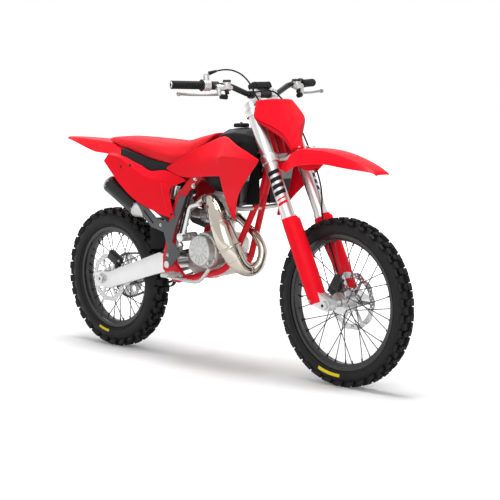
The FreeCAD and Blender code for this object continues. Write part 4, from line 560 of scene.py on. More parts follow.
finishes = {
    "red_plastic": dict(
        colour=(0.86, 0.006, 0.018), roughness=0.36, drift=0.04, grain=900, relief=0.03, level=0.08),
    # a shaded copy of the red plastic: its darker red is painted shade on the number plate's back and lower
    # wing
    "dark_red_plastic": dict(
        colour=(0.50, 0.005, 0.014), roughness=0.36, drift=0.05, grain=900, relief=0.05, level=0.13),
    "red_metal": dict(
        colour=(0.66, 0.006, 0.016), roughness=0.30, drift=0.06, grain=300, relief=0.05, level=0.18),
    "seat_cover": dict(
        colour=(0.74, 0.012, 0.022), roughness=0.55, drift=0.05, grain=700, relief=0.25, level=0.12),
    "black_plastic": dict(colour=(0.008, 0.008, 0.009), roughness=0.45, grain=800, relief=0.2, level=0.14),
    "grey_plastic": dict(colour=(0.085, 0.088, 0.094), roughness=0.48, grain=700, relief=0.25, level=0.3),
    "black_rubber": dict(colour=(0.008, 0.008, 0.008), roughness=0.60, grain=500, relief=0.3, level=0.2),
    "tyre_rubber": dict(
        colour=(0.0085, 0.0085, 0.009), roughness=0.50, drift=0.15, grain=350, relief=0.45, level=0.20),
    "black_rim": dict(colour=(0.008, 0.008, 0.009), roughness=0.26, relief=0.04),
    "spoke_steel": dict(colour=(0.05, 0.05, 0.052), roughness=0.30, metallic=1.0),
    "bright_steel": dict(colour=(0.50, 0.50, 0.51), roughness=0.24, metallic=1.0, relief=0.08),
    "chain_steel": dict(colour=(0.15, 0.14, 0.13), roughness=0.36, metallic=1.0, drift=0.15, relief=0.2),
    "silver_alloy": dict(colour=(0.61, 0.61, 0.61), roughness=0.30, metallic=1.0, grain=900, relief=0.08),
    "cast_alloy": dict(colour=(0.50, 0.50, 0.49), roughness=0.40, metallic=0.9, grain=420, relief=0.35),
    "case_alloy": dict(colour=(0.50, 0.49, 0.45), roughness=0.42, metallic=0.9, grain=420, relief=0.35),
    "lever_alloy": dict(colour=(0.27, 0.27, 0.27), roughness=0.36, metallic=0.9, grain=420, relief=0.3),
    "dark_alloy": dict(colour=(0.018, 0.018, 0.020), roughness=0.40, grain=500, relief=0.2, level=0.3),
    "nickel_steel": dict(
        colour=(0.52, 0.475, 0.41), roughness=0.14, metallic=1.0, drift=0.10, uneven=0.12, grain=60,
        relief=0.06, wavy=0.6),
    "black_can": dict(colour=(0.010, 0.010, 0.011), roughness=0.36, grain=900, relief=0.1, level=0.3),
    "white_spring": dict(colour=(0.62, 0.62, 0.63), roughness=0.30, coat=0.3),
    "plain_yellow": dict(colour=(0.80, 0.62, 0.02), roughness=0.5, level=0.2),
    "bar_black": dict(colour=(0.008, 0.008, 0.009), roughness=0.32, relief=0.08, level=0.35),
}
groups = {"tone": toneGroup(), "rough": roughGroup(), "grain": grainGroup()}
looks = {name: finish(name.replace("_", " "), **values) for name, values in finishes.items()}


def dressFrame():    # every CAD node gets its finish
    for part in frame["record"]["subparts"]:
        piece = frame["nodes"][part["node"]]
        piece.data.materials.clear()
        piece.data.materials.append(looks[part["material_slot"]])
    report("finishes on the solids")


buildStage()
dressFrame()


# Wheels, in millimetres and degrees

wheelShapes = {
    "front": {
        "body": "front_wheel", "centre": frontAxle, "tip": bike["frontRadius"], "half": 38, "bead": 241,
        "rimHalf": 23, "pitches": 34, "knobHeight": 12.5,
        "markTurn": -10.5, "markHalf": 11.5, "markRows": ((262, 33.3), (268, 34.2), (274, 34.6)),
    },
    "rear": {
        "body": "rear_wheel", "centre": rearAxle, "tip": bike["rearRadius"], "half": 45, "bead": 203,
        "rimHalf": 28, "pitches": 30, "knobHeight": 14.5,
        "markTurn": -13.5, "markHalf": 8, "markRows": ((227, 38.3), (232, 39.7), (237, 40.3)),
    },
}
tyreShape = {
    "halfShare": 0.9, "sunkShare": 1.35, "topShare": 0.84, "knobEdge": 0.9, "steps": 120, "markSteps": 12,
    "sideShares": (    # from the crown round one side: half width, height over the bead
        (0, 1.0), (0.25, 0.985), (0.5, 0.935), (0.72, 0.85), (0.9, 0.72), (0.985, 0.56), (0.97, 0.40),
        (0.90, 0.27), (0.80, 0.20),
    ),
    "lip": ((0.6, 12), (-3.4, 11.5), (-3.4, 0.5)),    # out from the rim's edge, over the bead
    "rib": ((0.86, 17), (0.87, 19), (0.83, 19), (0.83, 17)),
    "knobRows": (    # side share, half width share, half length share, phase, lean, height share
        (0.17, 0.125, 0.22, 0.0, 0, 1.00),
        (0.50, 0.150, 0.24, 0.5, 14, 1.00),
        (0.40, 0.080, 0.14, 0.0, 10, 0.92),
        (0.86, 0.150, 0.27, 0.0, 44, 1.00),
    ),
}
rimShape = {
    "steps": 128,
    "section": (    # share of the rim's half width, further out, over the bead
        (0, 0, -11), (0, 10, -11), (0, 12, -9.5), (0, 15, -1), (1, -5, -0.4), (1, -3.4, 1), (1, -3, 8.5),
        (1, -2.4, 10.6), (1, -0.8, 11), (1, 0, 9.8), (1, -0.3, 1), (1, -1.2, -2.6), (1, -3.5, -3.4),
        (0, 16, -4), (0, 12.5, -12), (0, 10, -14),
    ),
    "nippleLow": 26, "nippleHigh": 13, "nippleRadius": 2.6, "headRadius": 3.8, "headShare": 0.3,
    "perSet": 8, "offsets": (6, -6, 0.3, -0.3),    # how far each set lies from the rim's middle
}


def carcassProfile(wheel):    # from the crown round one side to the bead
    height = wheel["tip"] - wheel["knobHeight"] - wheel["bead"]
    half = wheel["half"] * tyreShape["halfShare"]
    outside = [(half * wide, wheel["bead"] + height * up) for wide, up in tyreShape["sideShares"]]
    return outside + [(wheel["rimHalf"] + out, wheel["bead"] + up) for out, up in tyreShape["lip"]]


def knob(wheel, row):
    sideShare, wideShare, longShare, phase, lean, tall = row
    pitch = math.tau * wheel["tip"] / wheel["pitches"]
    height = wheel["knobHeight"] * tall * tyreShape["sunkShare"]
    crown = wheel["tip"] - (1 - math.cos(math.radians(lean))) * wheel["half"] * tyreShape["halfShare"]
    activate(None)
    bpy.ops.mesh.primitive_cube_add(size=1)
    block = bpy.context.object
    block.scale = (pitch * longShare * 2 / 1000, wheel["half"] * wideShare * 2 / 1000, height / 1000)
    settle(block)
    for vertex in block.data.vertices:
        if vertex.co.z > 0:
            vertex.co.x *= tyreShape["topShare"]
            vertex.co.y *= tyreShape["topShare"]
    bevelled(block, tyreShape["knobEdge"] / 1000, 60, segments=1)
    block.data.transform(Matrix.Translation((0, 0, -height / 2000)))
    block.data.transform(Matrix.Rotation(-math.radians(lean), 4, "X"))
    block.data.transform(Matrix.Translation((0, wheel["half"] * sideShare / 1000, crown / 1000)))
    block.data.transform(Matrix.Rotation(math.tau / wheel["pitches"] * phase, 4, "Y"))
    block.data.transform(Matrix.Translation(wheel["centre"]))
    return block


def addTyre(side):
    wheel = wheelShapes[side]
    body = ring(wheel["centre"], mirroredProfile(carcassProfile(wheel)), steps=tyreShape["steps"])
    blocks = joined([mirrorAcross(knob(wheel, row)) for row in tyreShape["knobRows"]])
    blocks = turnedCopies(blocks, wheel["centre"], wheel["pitches"])
    rib = ring(wheel["centre"], [(wheel["half"] * wide, wheel["bead"] + up) for wide, up in tyreShape["rib"]])
    tyre = joined([body, blocks, mirrorAcross(rib)])
    return keep(tyre, side + "_tyre_tread", wheel["body"], "tyre_rubber", side + "_tyre", smooth=40)


def addTyreMark(side):    # a plain painted band on the right sidewall
    wheel = wheelShapes[side]
    half = tyreShape["markSteps"] // 2
    rows = []
    for reach, wide in wheel["markRows"]:
        row = []
        for step in range(-half, half + 1):
            angle = math.radians(wheel["markTurn"] + wheel["markHalf"] * step / half)
            spot = Vector((math.sin(angle) * reach, -wide, -math.cos(angle) * reach))
            row.append(wheel["centre"] + spot / 1000)
        rows.append(row)
    mark = faceTowards(sheetOf(rows), -across)
    shape(mark, "SOLIDIFY", thickness=0.0004, offset=0)
    return keep(mark, side + "_tyre_mark", wheel["body"], "tyre_rubber", look="plain_yellow")


def addRim(side):
    wheel = wheelShapes[side]
    section = [(wheel["rimHalf"] * share + out, wheel["bead"] + up) for share, out, up in rimShape["section"]]
    rim = ring(wheel["centre"], mirroredProfile(section), steps=rimShape["steps"])
    nipples = []
    step = 360 / rimShape["perSet"]
    for number, offset in enumerate(rimShape["offsets"]):
        start = Vector((0, offset, wheel["bead"] - rimShape["nippleLow"])) / 1000
        end = Vector((0, offset, wheel["bead"] - rimShape["nippleHigh"])) / 1000
        head = end - (end - start) * rimShape["headShare"]
        nipple = joined([
            rod(start, end, rimShape["nippleRadius"] / 1000, sides=10, soften=0.0004),
            rod(head, end, rimShape["headRadius"] / 1000, sides=10),
        ])
        turn = math.radians(90 - step * number / len(rimShape["offsets"]))
        nipple.data.transform(Matrix.Rotation(turn, 4, "Y"))
        nipple.data.transform(Matrix.Translation(wheel["centre"]))
        nipples.append(turnedCopies(nipple, wheel["centre"], rimShape["perSet"]))
    keep(joined(nipples), side + "_nipples", wheel["body"], "spoke_steel", look="dark_alloy")
    return keep(rim, side + "_rim_shape", wheel["body"], "black_rim", side + "_rim", smooth=30)


for wheelSide in wheelShapes:
    addTyre(wheelSide)
    addTyreMark(wheelSide)
    addRim(wheelSide)
report("tyres and rims")


# Body panels. Their tables hold shares of each panel's own length, height and width.

panels = {
    "shroud": {
        "back": 458, "low": 595, "length": 588, "height": 321, "halfWidth": 200, "thickness": 3,
        "levels": (0.0, 0.36, 0.76, 1.0), "stations": (-0.02, 0.28, 0.54, 0.78, 1.02),
        "sides": (
            (0.60, 0.60, 0.60, 0.60, 0.62),
            (0.62, 0.68, 0.79, 0.88, 0.92),
            (0.62, 0.68, 0.82, 0.93, 1.00),
            (0.47, 0.47, 0.47, 0.66, 0.90),
        ),
        "arm": (    # upper edge, waist and lower edge of the part beside the seat, from its tip forward
            ((0.003, 0.575), (0.07, 0.635), (0.20, 0.735), (0.33, 0.845), (0.46, 0.95), (0.53, 0.995)),
            ((0.000, 0.560), (0.07, 0.580), (0.19, 0.610), (0.34, 0.690), (0.47, 0.76), (0.555, 0.76)),
            ((0.010, 0.548), (0.08, 0.510), (0.18, 0.458), (0.36, 0.490), (0.48, 0.507), (0.590, 0.52)),
        ),
        "leg": (    # from the arm's front end to the front edge, down to the lower tip
            ((0.53, 0.995), (0.64, 0.935), (0.76, 0.872), (0.88, 0.822), (1.000, 0.742)),
            ((0.555, 0.76), (0.66, 0.760), (0.77, 0.757), (0.89, 0.750), (0.997, 0.722)),
            ((0.590, 0.52), (0.66, 0.520), (0.74, 0.520), (0.82, 0.525), (0.880, 0.530)),
            ((0.61, 0.36), (0.645, 0.36), (0.69, 0.360), (0.74, 0.365), (0.790, 0.370)),
            ((0.618, 0.16), (0.64, 0.170), (0.66, 0.185), (0.69, 0.200), (0.712, 0.210)),
            ((0.630, 0.010), (0.635, 0.004), (0.640, 0.000), (0.646, 0.000), (0.652, 0.002)),
        ),
        "creaseHalf": 14, "cornerHalf": 32, "cornerDrop": 38, "cornerTall": 42,
    },
    "side": {
        "back": 56, "low": 576, "length": 502, "height": 251, "halfWidth": 200, "thickness": 3,
        "levels": (0.0, 0.45, 1.0), "stations": (-0.02, 0.4, 0.8, 1.02),
        "sides": (
            (0.64, 0.655, 0.60, 0.58),
            (0.655, 0.68, 0.64, 0.59),
            (0.56, 0.575, 0.58, 0.58),
        ),
        "top": (
            (0.065, 0.995), (0.23, 0.995), (0.35, 0.90), (0.46, 0.81), (0.57, 0.725), (0.67, 0.750),
            (0.76, 0.775),
        ),
        "bottom": (
            (0.004, 0.86), (0.14, 0.64), (0.27, 0.455), (0.43, 0.24), (0.62, 0.12), (0.79, 0.012),
            (0.868, 0.028),
        ),
        "front": ((0.76, 0.775), (0.79, 0.66), (0.822, 0.49), (0.835, 0.30), (0.868, 0.028)),
        "downShares": (0, 0.17, 0.42, 0.70, 1), "shoulder": (-15, -22, -22, -18, -12, -9, -7),
        "spear": (    # the tip that reaches forward under the shroud
            ((0.76, 0.775, -7), (0.88, 0.71, -4), (0.99, 0.642, 0)),
            ((0.79, 0.66, 0), (0.90, 0.63, 0), (0.997, 0.626, 0)),
            ((0.822, 0.49, 0), (0.915, 0.555, 0), (0.998, 0.612, 0)),
        ),
        "ridge": (    # the raised bar down the panel's front leg
            ((0.725, 0.56, 0.0), (0.745, 0.57, 6.0), (0.785, 0.55, 0.0)),
            ((0.750, 0.34, 0.0), (0.770, 0.35, 6.5), (0.805, 0.34, 0.0)),
            ((0.790, 0.14, 0.0), (0.808, 0.14, 6.0), (0.835, 0.13, 0.0)),
        ),
        "ridgeThickness": 2, "creaseReach": 4, "screws": ((0.35, 0.81), (0.84, 0.075), (0.235, 0.78)),
        "screwRadius": 6, "screwSunk": 2, "screwProud": 1.2,
    },
}


def stretch(shares, value):    # which stretch of a table a value falls in, and how far along it
    index = 0
    while index < len(shares) - 2 and value > shares[index + 1]:
        index += 1
    return index, (value - shares[index]) / (shares[index + 1] - shares[index])


def panelPoint(panel, along, up, out=0.0):    # a place on the panel's outer face
    row, rise = stretch(panel["levels"], up)
    column, reach = stretch(panel["stations"], along)
    low, high = panel["sides"][row], panel["sides"][row + 1]
    lowSide = low[column] + (low[column + 1] - low[column]) * reach
    highSide = high[column] + (high[column + 1] - high[column]) * reach
    side = panel["halfWidth"] * (lowSide + (highSide - lowSide) * rise)
    return place(panel["back"] + panel["length"] * along, side + out, panel["low"] + panel["height"] * up)


def panelSheet(panel, rows):
    return sheetOf([[panelPoint(panel, *spot) for spot in row] for row in rows])


def between(first, second, share):    # a row of places part of the way from one row to the other
    return [tuple(a + (b - a) * share for a, b in zip(*pair)) for pair in zip(first, second)]


def mergedSheets(sheets, direction):
    return faceTowards(tidyMesh(joined(sheets), 0.0004), direction)


def addShrouds():
    panel = panels["shroud"]
    piece = mergedSheets([panelSheet(panel, panel["arm"]), panelSheet(panel, panel["leg"])], across)
    crease = panel["low"] + panel["height"] * panel["levels"][2] - bike["seatHeight"]
    corner = place(panel["back"] + panel["length"] * panel["stations"][2], 0, 0).x

    def onCrease(spot):
        return abs(spot.z * 1000 - crease) < panel["creaseHalf"] and spot.x > corner

    def onCorner(spot):
        drop = abs(spot.z * 1000 - crease + panel["cornerDrop"])
        return abs(spot.x - corner) * 1000 < panel["cornerHalf"] and drop < panel["cornerTall"]

    creaseNear(piece, onCrease, 1.0)
    creaseNear(piece, onCorner, 0.7)
    smoothWall(piece, panel["thickness"], levels=3)
    mirrorAcross(piece)
    return keep(piece, "shroud_skins", "chassis", "red_plastic", "shrouds", smooth=24)


def addSidePanels():
    panel = panels["side"]
    rows = []
    for number, down in enumerate(panel["downShares"]):
        row = between(panel["top"], panel["bottom"], down)
        row[-1] = panel["front"][number]
        folds = panel["shoulder"] if number == 0 else [0] * len(row)
        rows.append([(*spot, fold) for spot, fold in zip(row, folds)])
    piece = mergedSheets([panelSheet(panel, rows), panelSheet(panel, panel["spear"])], across)
    second = between(panel["top"], panel["bottom"], panel["downShares"][1])
    upper = [panelPoint(panel, along, up) for along, up in second]
    reach = panel["creaseReach"] / 1000
    creaseNear(piece, lambda spot: min((spot - near).length for near in upper) < reach, 1.0)
    smoothWall(piece, panel["thickness"], levels=3)
    ridge = faceTowards(panelSheet(panel, panel["ridge"]), across)
    smoothWall(ridge, panel["ridgeThickness"], levels=2)
    piece = mirrorAcross(joined([piece, ridge]))
    keep(piece, "side_panel_skins", "chassis", "red_plastic", "side_panels", smooth=24)
    screws = []
    for along, up in panel["screws"]:
        spot = panelPoint(panel, along, up)
        start, end = spot - across * panel["screwSunk"] / 1000, spot + across * panel["screwProud"] / 1000
        screws.append(rod(start, end, panel["screwRadius"] / 1000, sides=20, soften=0.0006))
    screws = mirrorAcross(joined(screws))
    return keep(screws, "side_panel_screws", "chassis", "dark_alloy", look="black_plastic")


seatShape = {
    "back": 30, "length": 643, "low": 792, "depth": 129,
    "alongShares": (0, 0.1, 0.29, 0.46, 0.656, 0.76, 0.84, 0.92, 1.0),
    "underShares": (0.645, 0.53, 0.31, 0.12, 0.0, -0.04, 0.06, 0.5, 0.85),
    "voxel": 0.0045, "smoothing": 12, "pressure": 2.5, "steps": 14, "cap": 0.005, "fill": 0.85,
    "restLow": 6, "restTall": 25, "topRoom": 0.002,
}


def seatUnderside(x):
    column, along = stretch(seatShape["alongShares"], (x - seatShape["back"]) / seatShape["length"])
    shares = seatShape["underShares"]
    share = shares[column] + (shares[column + 1] - shares[column]) * along
    return seatShape["low"] + seatShape["depth"] * share


fenders = {
    "rear": {
        "tip": -294, "length": 444, "high": 881, "depth": 70, "halfWidth": 104, "thickness": 3,
        "rows": (
            (0.00, 1.00, 0.28, 0.10), (0.18, 1.00, 0.56, 0.22), (0.41, 0.97, 0.74, 0.54),
            (0.58, 0.93, 0.84, 0.74), (0.73, 0.90, 0.94, 0.72), (0.87, 0.70, 0.98, 0.60),
            (1.00, 0.50, 1.00, 0.40),
        ),
    },
    "front": {
        "tip": 993, "length": 480, "high": 873, "depth": 130, "halfWidth": 76, "thickness": 2.5,
        "rows": (
            (0.005, 0.56, 0.72, 0.12), (0.095, 0.62, 0.72, 0.30), (0.145, 0.88, 0.96, 0.62),
            (0.22, 1.00, 1.00, 0.50), (0.37, 1.005, 0.97, 0.44), (0.52, 0.99, 0.92, 0.38),
            (0.71, 0.83, 0.82, 0.34), (0.90, 0.58, 0.66, 0.14), (0.985, 0.43, 0.50, 0.035),
            (1.00, 0.34, 0.47, 0.02),
        ),
    },
}
fenderShape = {
    "archShares": (
        (-1, 1), (-0.86, 0.52), (-0.70, 0.10), (-0.35, 0.02), (0, 0), (0.35, 0.02), (0.70, 0.10),
        (0.86, 0.52), (1, 1),
    ),
    "creased": (2, 6), "creaseAmount": 0.8, "underSeat": 0.5,
    "legHoles": ((338, 821, 29), (576.7, 821, 35)),    # low, high and radius about each fork leg
    "clampRoom": {"back": -120, "front": 41, "low": 576.7, "high": 611, "half": 120},
    "boltReaches": (1085, 1118), "boltSide": 22, "boltRise": 0.5, "boltRadius": 4.5,
}


def fenderSheet(fender):
    rows = []
    for along, up, wide, deep in fender["rows"]:
        x = fender["tip"] + fender["length"] * along
        top = fender["high"] - fender["depth"] * (1 - up)
        if fender is fenders["rear"] and x > seatShape["back"]:
            top = seatUnderside(x) - fenderShape["underSeat"]
        half = fender["halfWidth"] * wide
        drop = fender["depth"] * deep
        rows.append([place(x, half * side, top - drop * down) for side, down in fenderShape["archShares"]])
    piece = faceTowards(sheetOf(rows), upward)
    count = len(fenderShape["archShares"])
    layer = creaseLayer(piece)
    for edge in piece.data.edges:
        first, second = (index % count for index in edge.vertices)
        if first == second and first in fenderShape["creased"]:
            layer.data[edge.index].value = fenderShape["creaseAmount"]
    return smoothWall(piece, fender["thickness"], levels=2, edge=0)


def addFenders():
    rear = fenderSheet(fenders["rear"])
    keep(rear, "rear_fender_skin", "chassis", "red_plastic", "rear_fender", smooth=28)
    front = fenderSheet(fenders["front"])
    for side in (-1, 1):
        for low, high, radius in fenderShape["legHoles"]:
            cutAway(front, rod(legSpot(side, low), legSpot(side, high), radius / 1000))
    activate(None)
    bpy.ops.mesh.primitive_cube_add(size=1)
    cutter = bpy.context.object
    room = fenderShape["clampRoom"]
    for vertex in cutter.data.vertices:
        ahead = room["front"] if vertex.co.x > 0 else room["back"]
        up = room["high"] if vertex.co.z > 0 else room["low"]
        vertex.co = steer(ahead, math.copysign(room["half"], vertex.co.y), up)
    cutAway(front, cutter)
    keep(front, "front_fender_skin", "steering", "red_plastic", "front_fender", smooth=28)
    bolts = []
    for x in fenderShape["boltReaches"]:
        for side in (fenderShape["boltSide"], -fenderShape["boltSide"]):
            spot = place(x, side, fenders["front"]["high"] + fenderShape["boltRise"])
            bolts.append(bolt(spot, upward, fenderShape["boltRadius"] / 1000))
    keep(joined(bolts), "front_fender_bolts", "steering", "bright_steel")


plate = {
    "low": 598, "high": 816, "halfWidth": 135, "depth": 44, "aheadLow": 96, "aheadHigh": 72, "thickness": 3,
    "columns": (-1, -0.72, -0.5, -0.25, 0, 0.25, 0.5, 0.72, 1),
    "rows": (
        (0.0, 0.28), (0.10, 0.31), (0.22, 0.36), (0.42, 0.68), (0.62, 1.0), (0.72, 1.0), (0.86, 0.85),
        (1.0, 0.70),
    ),
    "faceRows": (
        (0.03, 0.23), (0.20, 0.25), (0.33, 0.33), (0.45, 0.52), (0.58, 0.82), (0.65, 0.97), (0.72, 0.97),
        (0.86, 0.83), (0.985, 0.69),
    ),
    "faceOut": 2.6, "faceThickness": 2.5, "stud": (38.3, 94.5, 602.3, 4),
    "foldAt": 0.5, "innerSlope": 0.2, "outerSlope": 0.7,
}


def platePoint(wide, up, out=0.0):    # wide is a share of the plate's half width
    inner, outer = min(abs(wide), plate["foldAt"]), max(abs(wide) - plate["foldAt"], 0)
    deep = 1 - plate["innerSlope"] * inner - plate["outerSlope"] * outer
    ahead = plate["aheadLow"] + (plate["aheadHigh"] - plate["aheadLow"]) * up
    ahead -= plate["depth"] * (1 - deep)
    return steer(ahead + out, plate["halfWidth"] * wide, plate["low"] + (plate["high"] - plate["low"]) * up)


def plateSheet(table, out=0.0):
    rows = [[platePoint(half * wide, up, out) for wide in plate["columns"]] for up, half in table]
    return faceTowards(sheetOf(rows), steerAhead)


def addPlate():
    back = smoothWall(plateSheet(plate["rows"]), plate["thickness"], levels=2)
    start, end, up, radius = plate["stud"]
    back = joined([back, rod(steer(start, 0, up), steer(end, 0, up), radius / 1000)])
    # the back shows at the plate's lower wing in the darker red, which is painted shade
    keep(back, "plate_back", "steering", "dark_red_plastic", "number_plate", smooth=40)
    face = plateSheet(plate["faceRows"], plate["faceOut"])
    smoothWall(face, plate["faceThickness"], levels=2, edge=0.001)
    return keep(face, "plate_face", "steering", "red_plastic", smooth=40)


def addSeat():    # foam under a stretched cover: remeshed, then swelled a little
    piece = copyNode("seat")
    shape(piece, "REMESH", mode="VOXEL", voxel_size=seatShape["voxel"], use_smooth_shade=True)
    shape(piece, "SMOOTH", factor=0.5, iterations=seatShape["smoothing"])
    rest = swell(piece, seatShape["pressure"], seatShape["steps"], seatShape["cap"])
    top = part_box("seat")[1].z + seatShape["topRoom"]
    for vertex, start in zip(piece.data.vertices, rest):
        under = seatUnderside(start.x * 1000 + bike["riderReach"]) - bike["seatHeight"]
        share = (start.z * 1000 - under - seatShape["restLow"]) / seatShape["restTall"]
        share = min(max(share, 0), 1)    # nothing swells where it rests on the base
        vertex.co = start + (vertex.co - start) * share
        vertex.co.z = min(vertex.co.z, top)
    shape(piece, "SUBSURF", levels=1, render_levels=1)
    keep(piece, "seat_cushion", "chassis", "seat_cover", "seat", smooth=0, look="seat_top")
    bpy.ops.object.shade_smooth()
    return piece


seatCover = {
    "finish": dict(
        colour=(0.74, 0.010, 0.020), roughness=0.50, drift=0.05, grain=900, relief=0.3, level=0.14),
    "ribs": 22, "ribStrength": 0.25, "ribDepth": 0.002, "topFrom": 0.75, "topFull": 0.9,
}


def seatLook():    # a cover ribbed across on top, smooth at the sides
    material = finish("seat top", **seatCover["finish"])
    tree = material.node_tree
    shader = tree.nodes["Principled BSDF"]
    grain = shader.inputs["Normal"].links[0].from_node
    coordinates = tree.nodes.new("ShaderNodeTexCoord")
    wave = tree.nodes.new("ShaderNodeTexWave")
    wave.bands_direction = "X"
    wave.inputs["Scale"].default_value = seatCover["ribs"]
    wave.inputs["Distortion"].default_value = 0
    tree.links.new(coordinates.outputs["Object"], wave.inputs["Vector"])
    geometry = tree.nodes.new("ShaderNodeNewGeometry")
    parts = tree.nodes.new("ShaderNodeSeparateXYZ")
    tree.links.new(geometry.outputs["Normal"], parts.inputs[0])
    onTop = rangeNode(tree, parts.outputs["Z"], seatCover["topFrom"], seatCover["topFull"])
    ribs = mathNode(tree, "MULTIPLY", wave.outputs["Fac"], onTop.outputs["Result"])
    bump = bumpNode(tree, ribs, seatCover["ribStrength"], seatCover["ribDepth"])
    tree.links.new(grain.outputs["Normal"], bump.inputs["Normal"])
    tree.links.new(bump.outputs["Normal"], shader.inputs["Normal"])
    return material


looks["seat_top"] = seatLook()
addShrouds()
addSidePanels()
addFenders()
addPlate()
report("body panels")
addSeat()
report("seat")


# Exhaust

exhaust = {
    "start": (717.3, 0, 590), "second": (734, 0, 590), "portRadius": 15.3, "belly": 43,
    "back": 336, "length": 540, "low": 398, "height": 270, "side": 127,
    "stations": (    # along, sideways, up, girth
        (0.770, 0.00, 0.675, 0.36), (0.833, 0.00, 0.593, 0.36), (0.896, 0.00, 0.511, 0.36),
        (0.952, 0.01, 0.407, 0.37), (0.989, 0.03, 0.281, 0.40), (1.000, 0.11, 0.156, 0.43),
        (0.993, 0.24, 0.052, 0.48), (0.967, 0.43, 0.000, 0.56), (0.937, 0.65, 0.044, 0.70),
        (0.907, 0.83, 0.170, 0.86), (0.878, 0.95, 0.326, 0.99), (0.841, 1.00, 0.489, 1.00),
        (0.800, 0.98, 0.652, 0.97), (0.754, 0.94, 0.800, 0.85), (0.696, 0.87, 0.926, 0.68),
        (0.622, 0.75, 1.000, 0.47), (0.541, 0.64, 0.978, 0.33), (0.443, 0.61, 0.881, 0.28),
        (0.304, 0.61, 0.770, 0.274), (0.174, 0.61, 0.685, 0.274), (0.067, 0.63, 0.611, 0.274),
    ),
    "end": ((314.7, -88, 565.9), (284.7, -88, 581.4)), "endRadius": 11.8,
    "seams": (    # station, thickness
        (5, 1.2), (7, 1.2), (9, 1.3), (11, 1.3), (12, 4.5), (14, 1.3), (16, 1.3), (18, 1.2),
    ),
    "collars": ((0, 17.5, 2.2), (6, 16.5, 1.6)),    # past the second place, radius, thickness
    "tab": (14, 4, (0, 20, 35), 4),    # station, sunk, where its end is from the next station, radius
    "springPlace": (722, 22, 596), "springReach": (36, -4, -10), "spring": (3.2, 0.8, 9),
}


def exhaustPath():
    points = [(place(*exhaust[name]), exhaust["portRadius"]) for name in ("start", "second")]
    for along, side, up, girth in exhaust["stations"]:
        x = exhaust["back"] + exhaust["length"] * along
        spot = place(x, -exhaust["side"] * side, exhaust["low"] + exhaust["height"] * up)
        points.append((spot, exhaust["belly"] * girth))
    return points + [(place(*spot), exhaust["endRadius"]) for spot in exhaust["end"]]


def throughLine(points, smoothness=10, roundness=9):    # a tube whose girth changes, through these points
    activate(None)
    bpy.ops.curve.primitive_bezier_curve_add()
    piece = bpy.context.object
    piece.location = (0, 0, 0)
    data = piece.data
    data.splines.clear()
    spline = data.splines.new("BEZIER")
    spline.bezier_points.add(len(points) - 1)
    for spot, (point, radius) in zip(spline.bezier_points, points):
        spot.co = point
        spot.handle_left_type = "AUTO"
        spot.handle_right_type = "AUTO"
        spot.radius = radius
    spline.radius_interpolation = "CARDINAL"
    data.dimensions = "3D"
    data.bevel_depth = 0.001
    data.bevel_resolution = roundness
    data.resolution_u = smoothness
    data.use_fill_caps = True
    return curveToMesh(piece)


def bead(centre, direction, radius, thickness):    # a thin welded or rolled ring about a pipe, in mm
    activate(None)
    bpy.ops.mesh.primitive_torus_add(
        major_radius=radius / 1000, minor_radius=thickness / 1000, major_segments=48, minor_segments=8,
        location=centre, rotation=direction.to_track_quat("Z", "Y").to_euler())
    return settle(bpy.context.object)


def coil(start, end, radius, thickness, turns):    # a small tension spring, in mm
    along = end - start
    turn = along.to_track_quat("Z", "Y").to_matrix()
    points = []
    steps = turns * 8
    for step in range(steps + 1):
        angle = math.tau * turns * step / steps
        reach = Vector((radius * math.cos(angle), radius * math.sin(angle), 0)) / 1000
        reach.z = along.length * step / steps
        points.append(start + turn @ reach)
    return wire(points, thickness / 1000, smoothness=3)


def addExhaust():
    path = exhaustPath()
    pieces = [throughLine(path)]
    for station, thick in exhaust["seams"]:
        spot, radius = path[station]
        pieces.append(bead(spot, path[station + 1][0] - path[station - 1][0], radius, thick))
    for past, radius, thick in exhaust["collars"]:
        pieces.append(bead(path[1][0] + forward * past / 1000, forward, radius, thick))
    station, sunk, shift, radius = exhaust["tab"]
    start = path[station][0] + upward * (path[station][1] - sunk) / 1000
    pieces.append(rod(start, path[station + 1][0] + Vector(shift) / 1000, radius / 1000, sides=16))
    springs = []
    x, y, z = exhaust["springPlace"]
    for side in (-1, 1):
        start = place(x, y * side, z)
        reach = Vector(exhaust["springReach"]) / 1000
        reach.y *= side
        springs.append(coil(start, start + reach, *exhaust["spring"]))
    keep(joined(springs), "header_springs", "chassis", "bright_steel")
    return keep(joined(pieces), "exhaust_skin", "chassis", "nickel_steel", "exhaust_pipe", smooth=50)


silencerShape = {    # profiles hold the share of the length, a share of the radius and millimetres more
    "back": (60, -88, 697), "front": (264, -88, 592), "radius": 36,
    "can": ((0.04, 1, -2), (0.04, 1, 0), (0.5, 1, 0.4), (0.9, 1, 0), (0.9, 1, -2)),
    "cap": (
        (-0.02, 0, 17), (-0.02, 0, 21), (-0.012, 1, -7), (0.004, 1, -1), (0.02, 1, 1), (0.045, 1, 1.2),
        (0.05, 1, -0.5), (0.05, 0, 19), (0.26, 0, 17), (0.26, 0, 15), (0.0, 0, 15.5),
    ),
    "cone": (
        (0.885, 1, -3), (0.885, 1, 1.2), (0.915, 1, 1.2), (0.925, 1, -0.5), (0.96, 0.9, 0), (1.03, 0.62, 0),
        (1.1, 0, 17), (1.1, 0, 12.3), (1.0, 0, 11),
    ),
    "rivetShares": (0.07, 0.87), "rivets": 10, "rivetRadius": 2.6, "rivetTall": 1.6, "rivetSunk": 0.4,
}


def outwardRound(axis, count):    # directions evenly spaced about an axis
    turn = axis.to_track_quat("Z", "Y").to_matrix()
    angles = [math.tau * number / count for number in range(count)]
    return [turn @ Vector((math.cos(angle), math.sin(angle), 0)) for angle in angles]


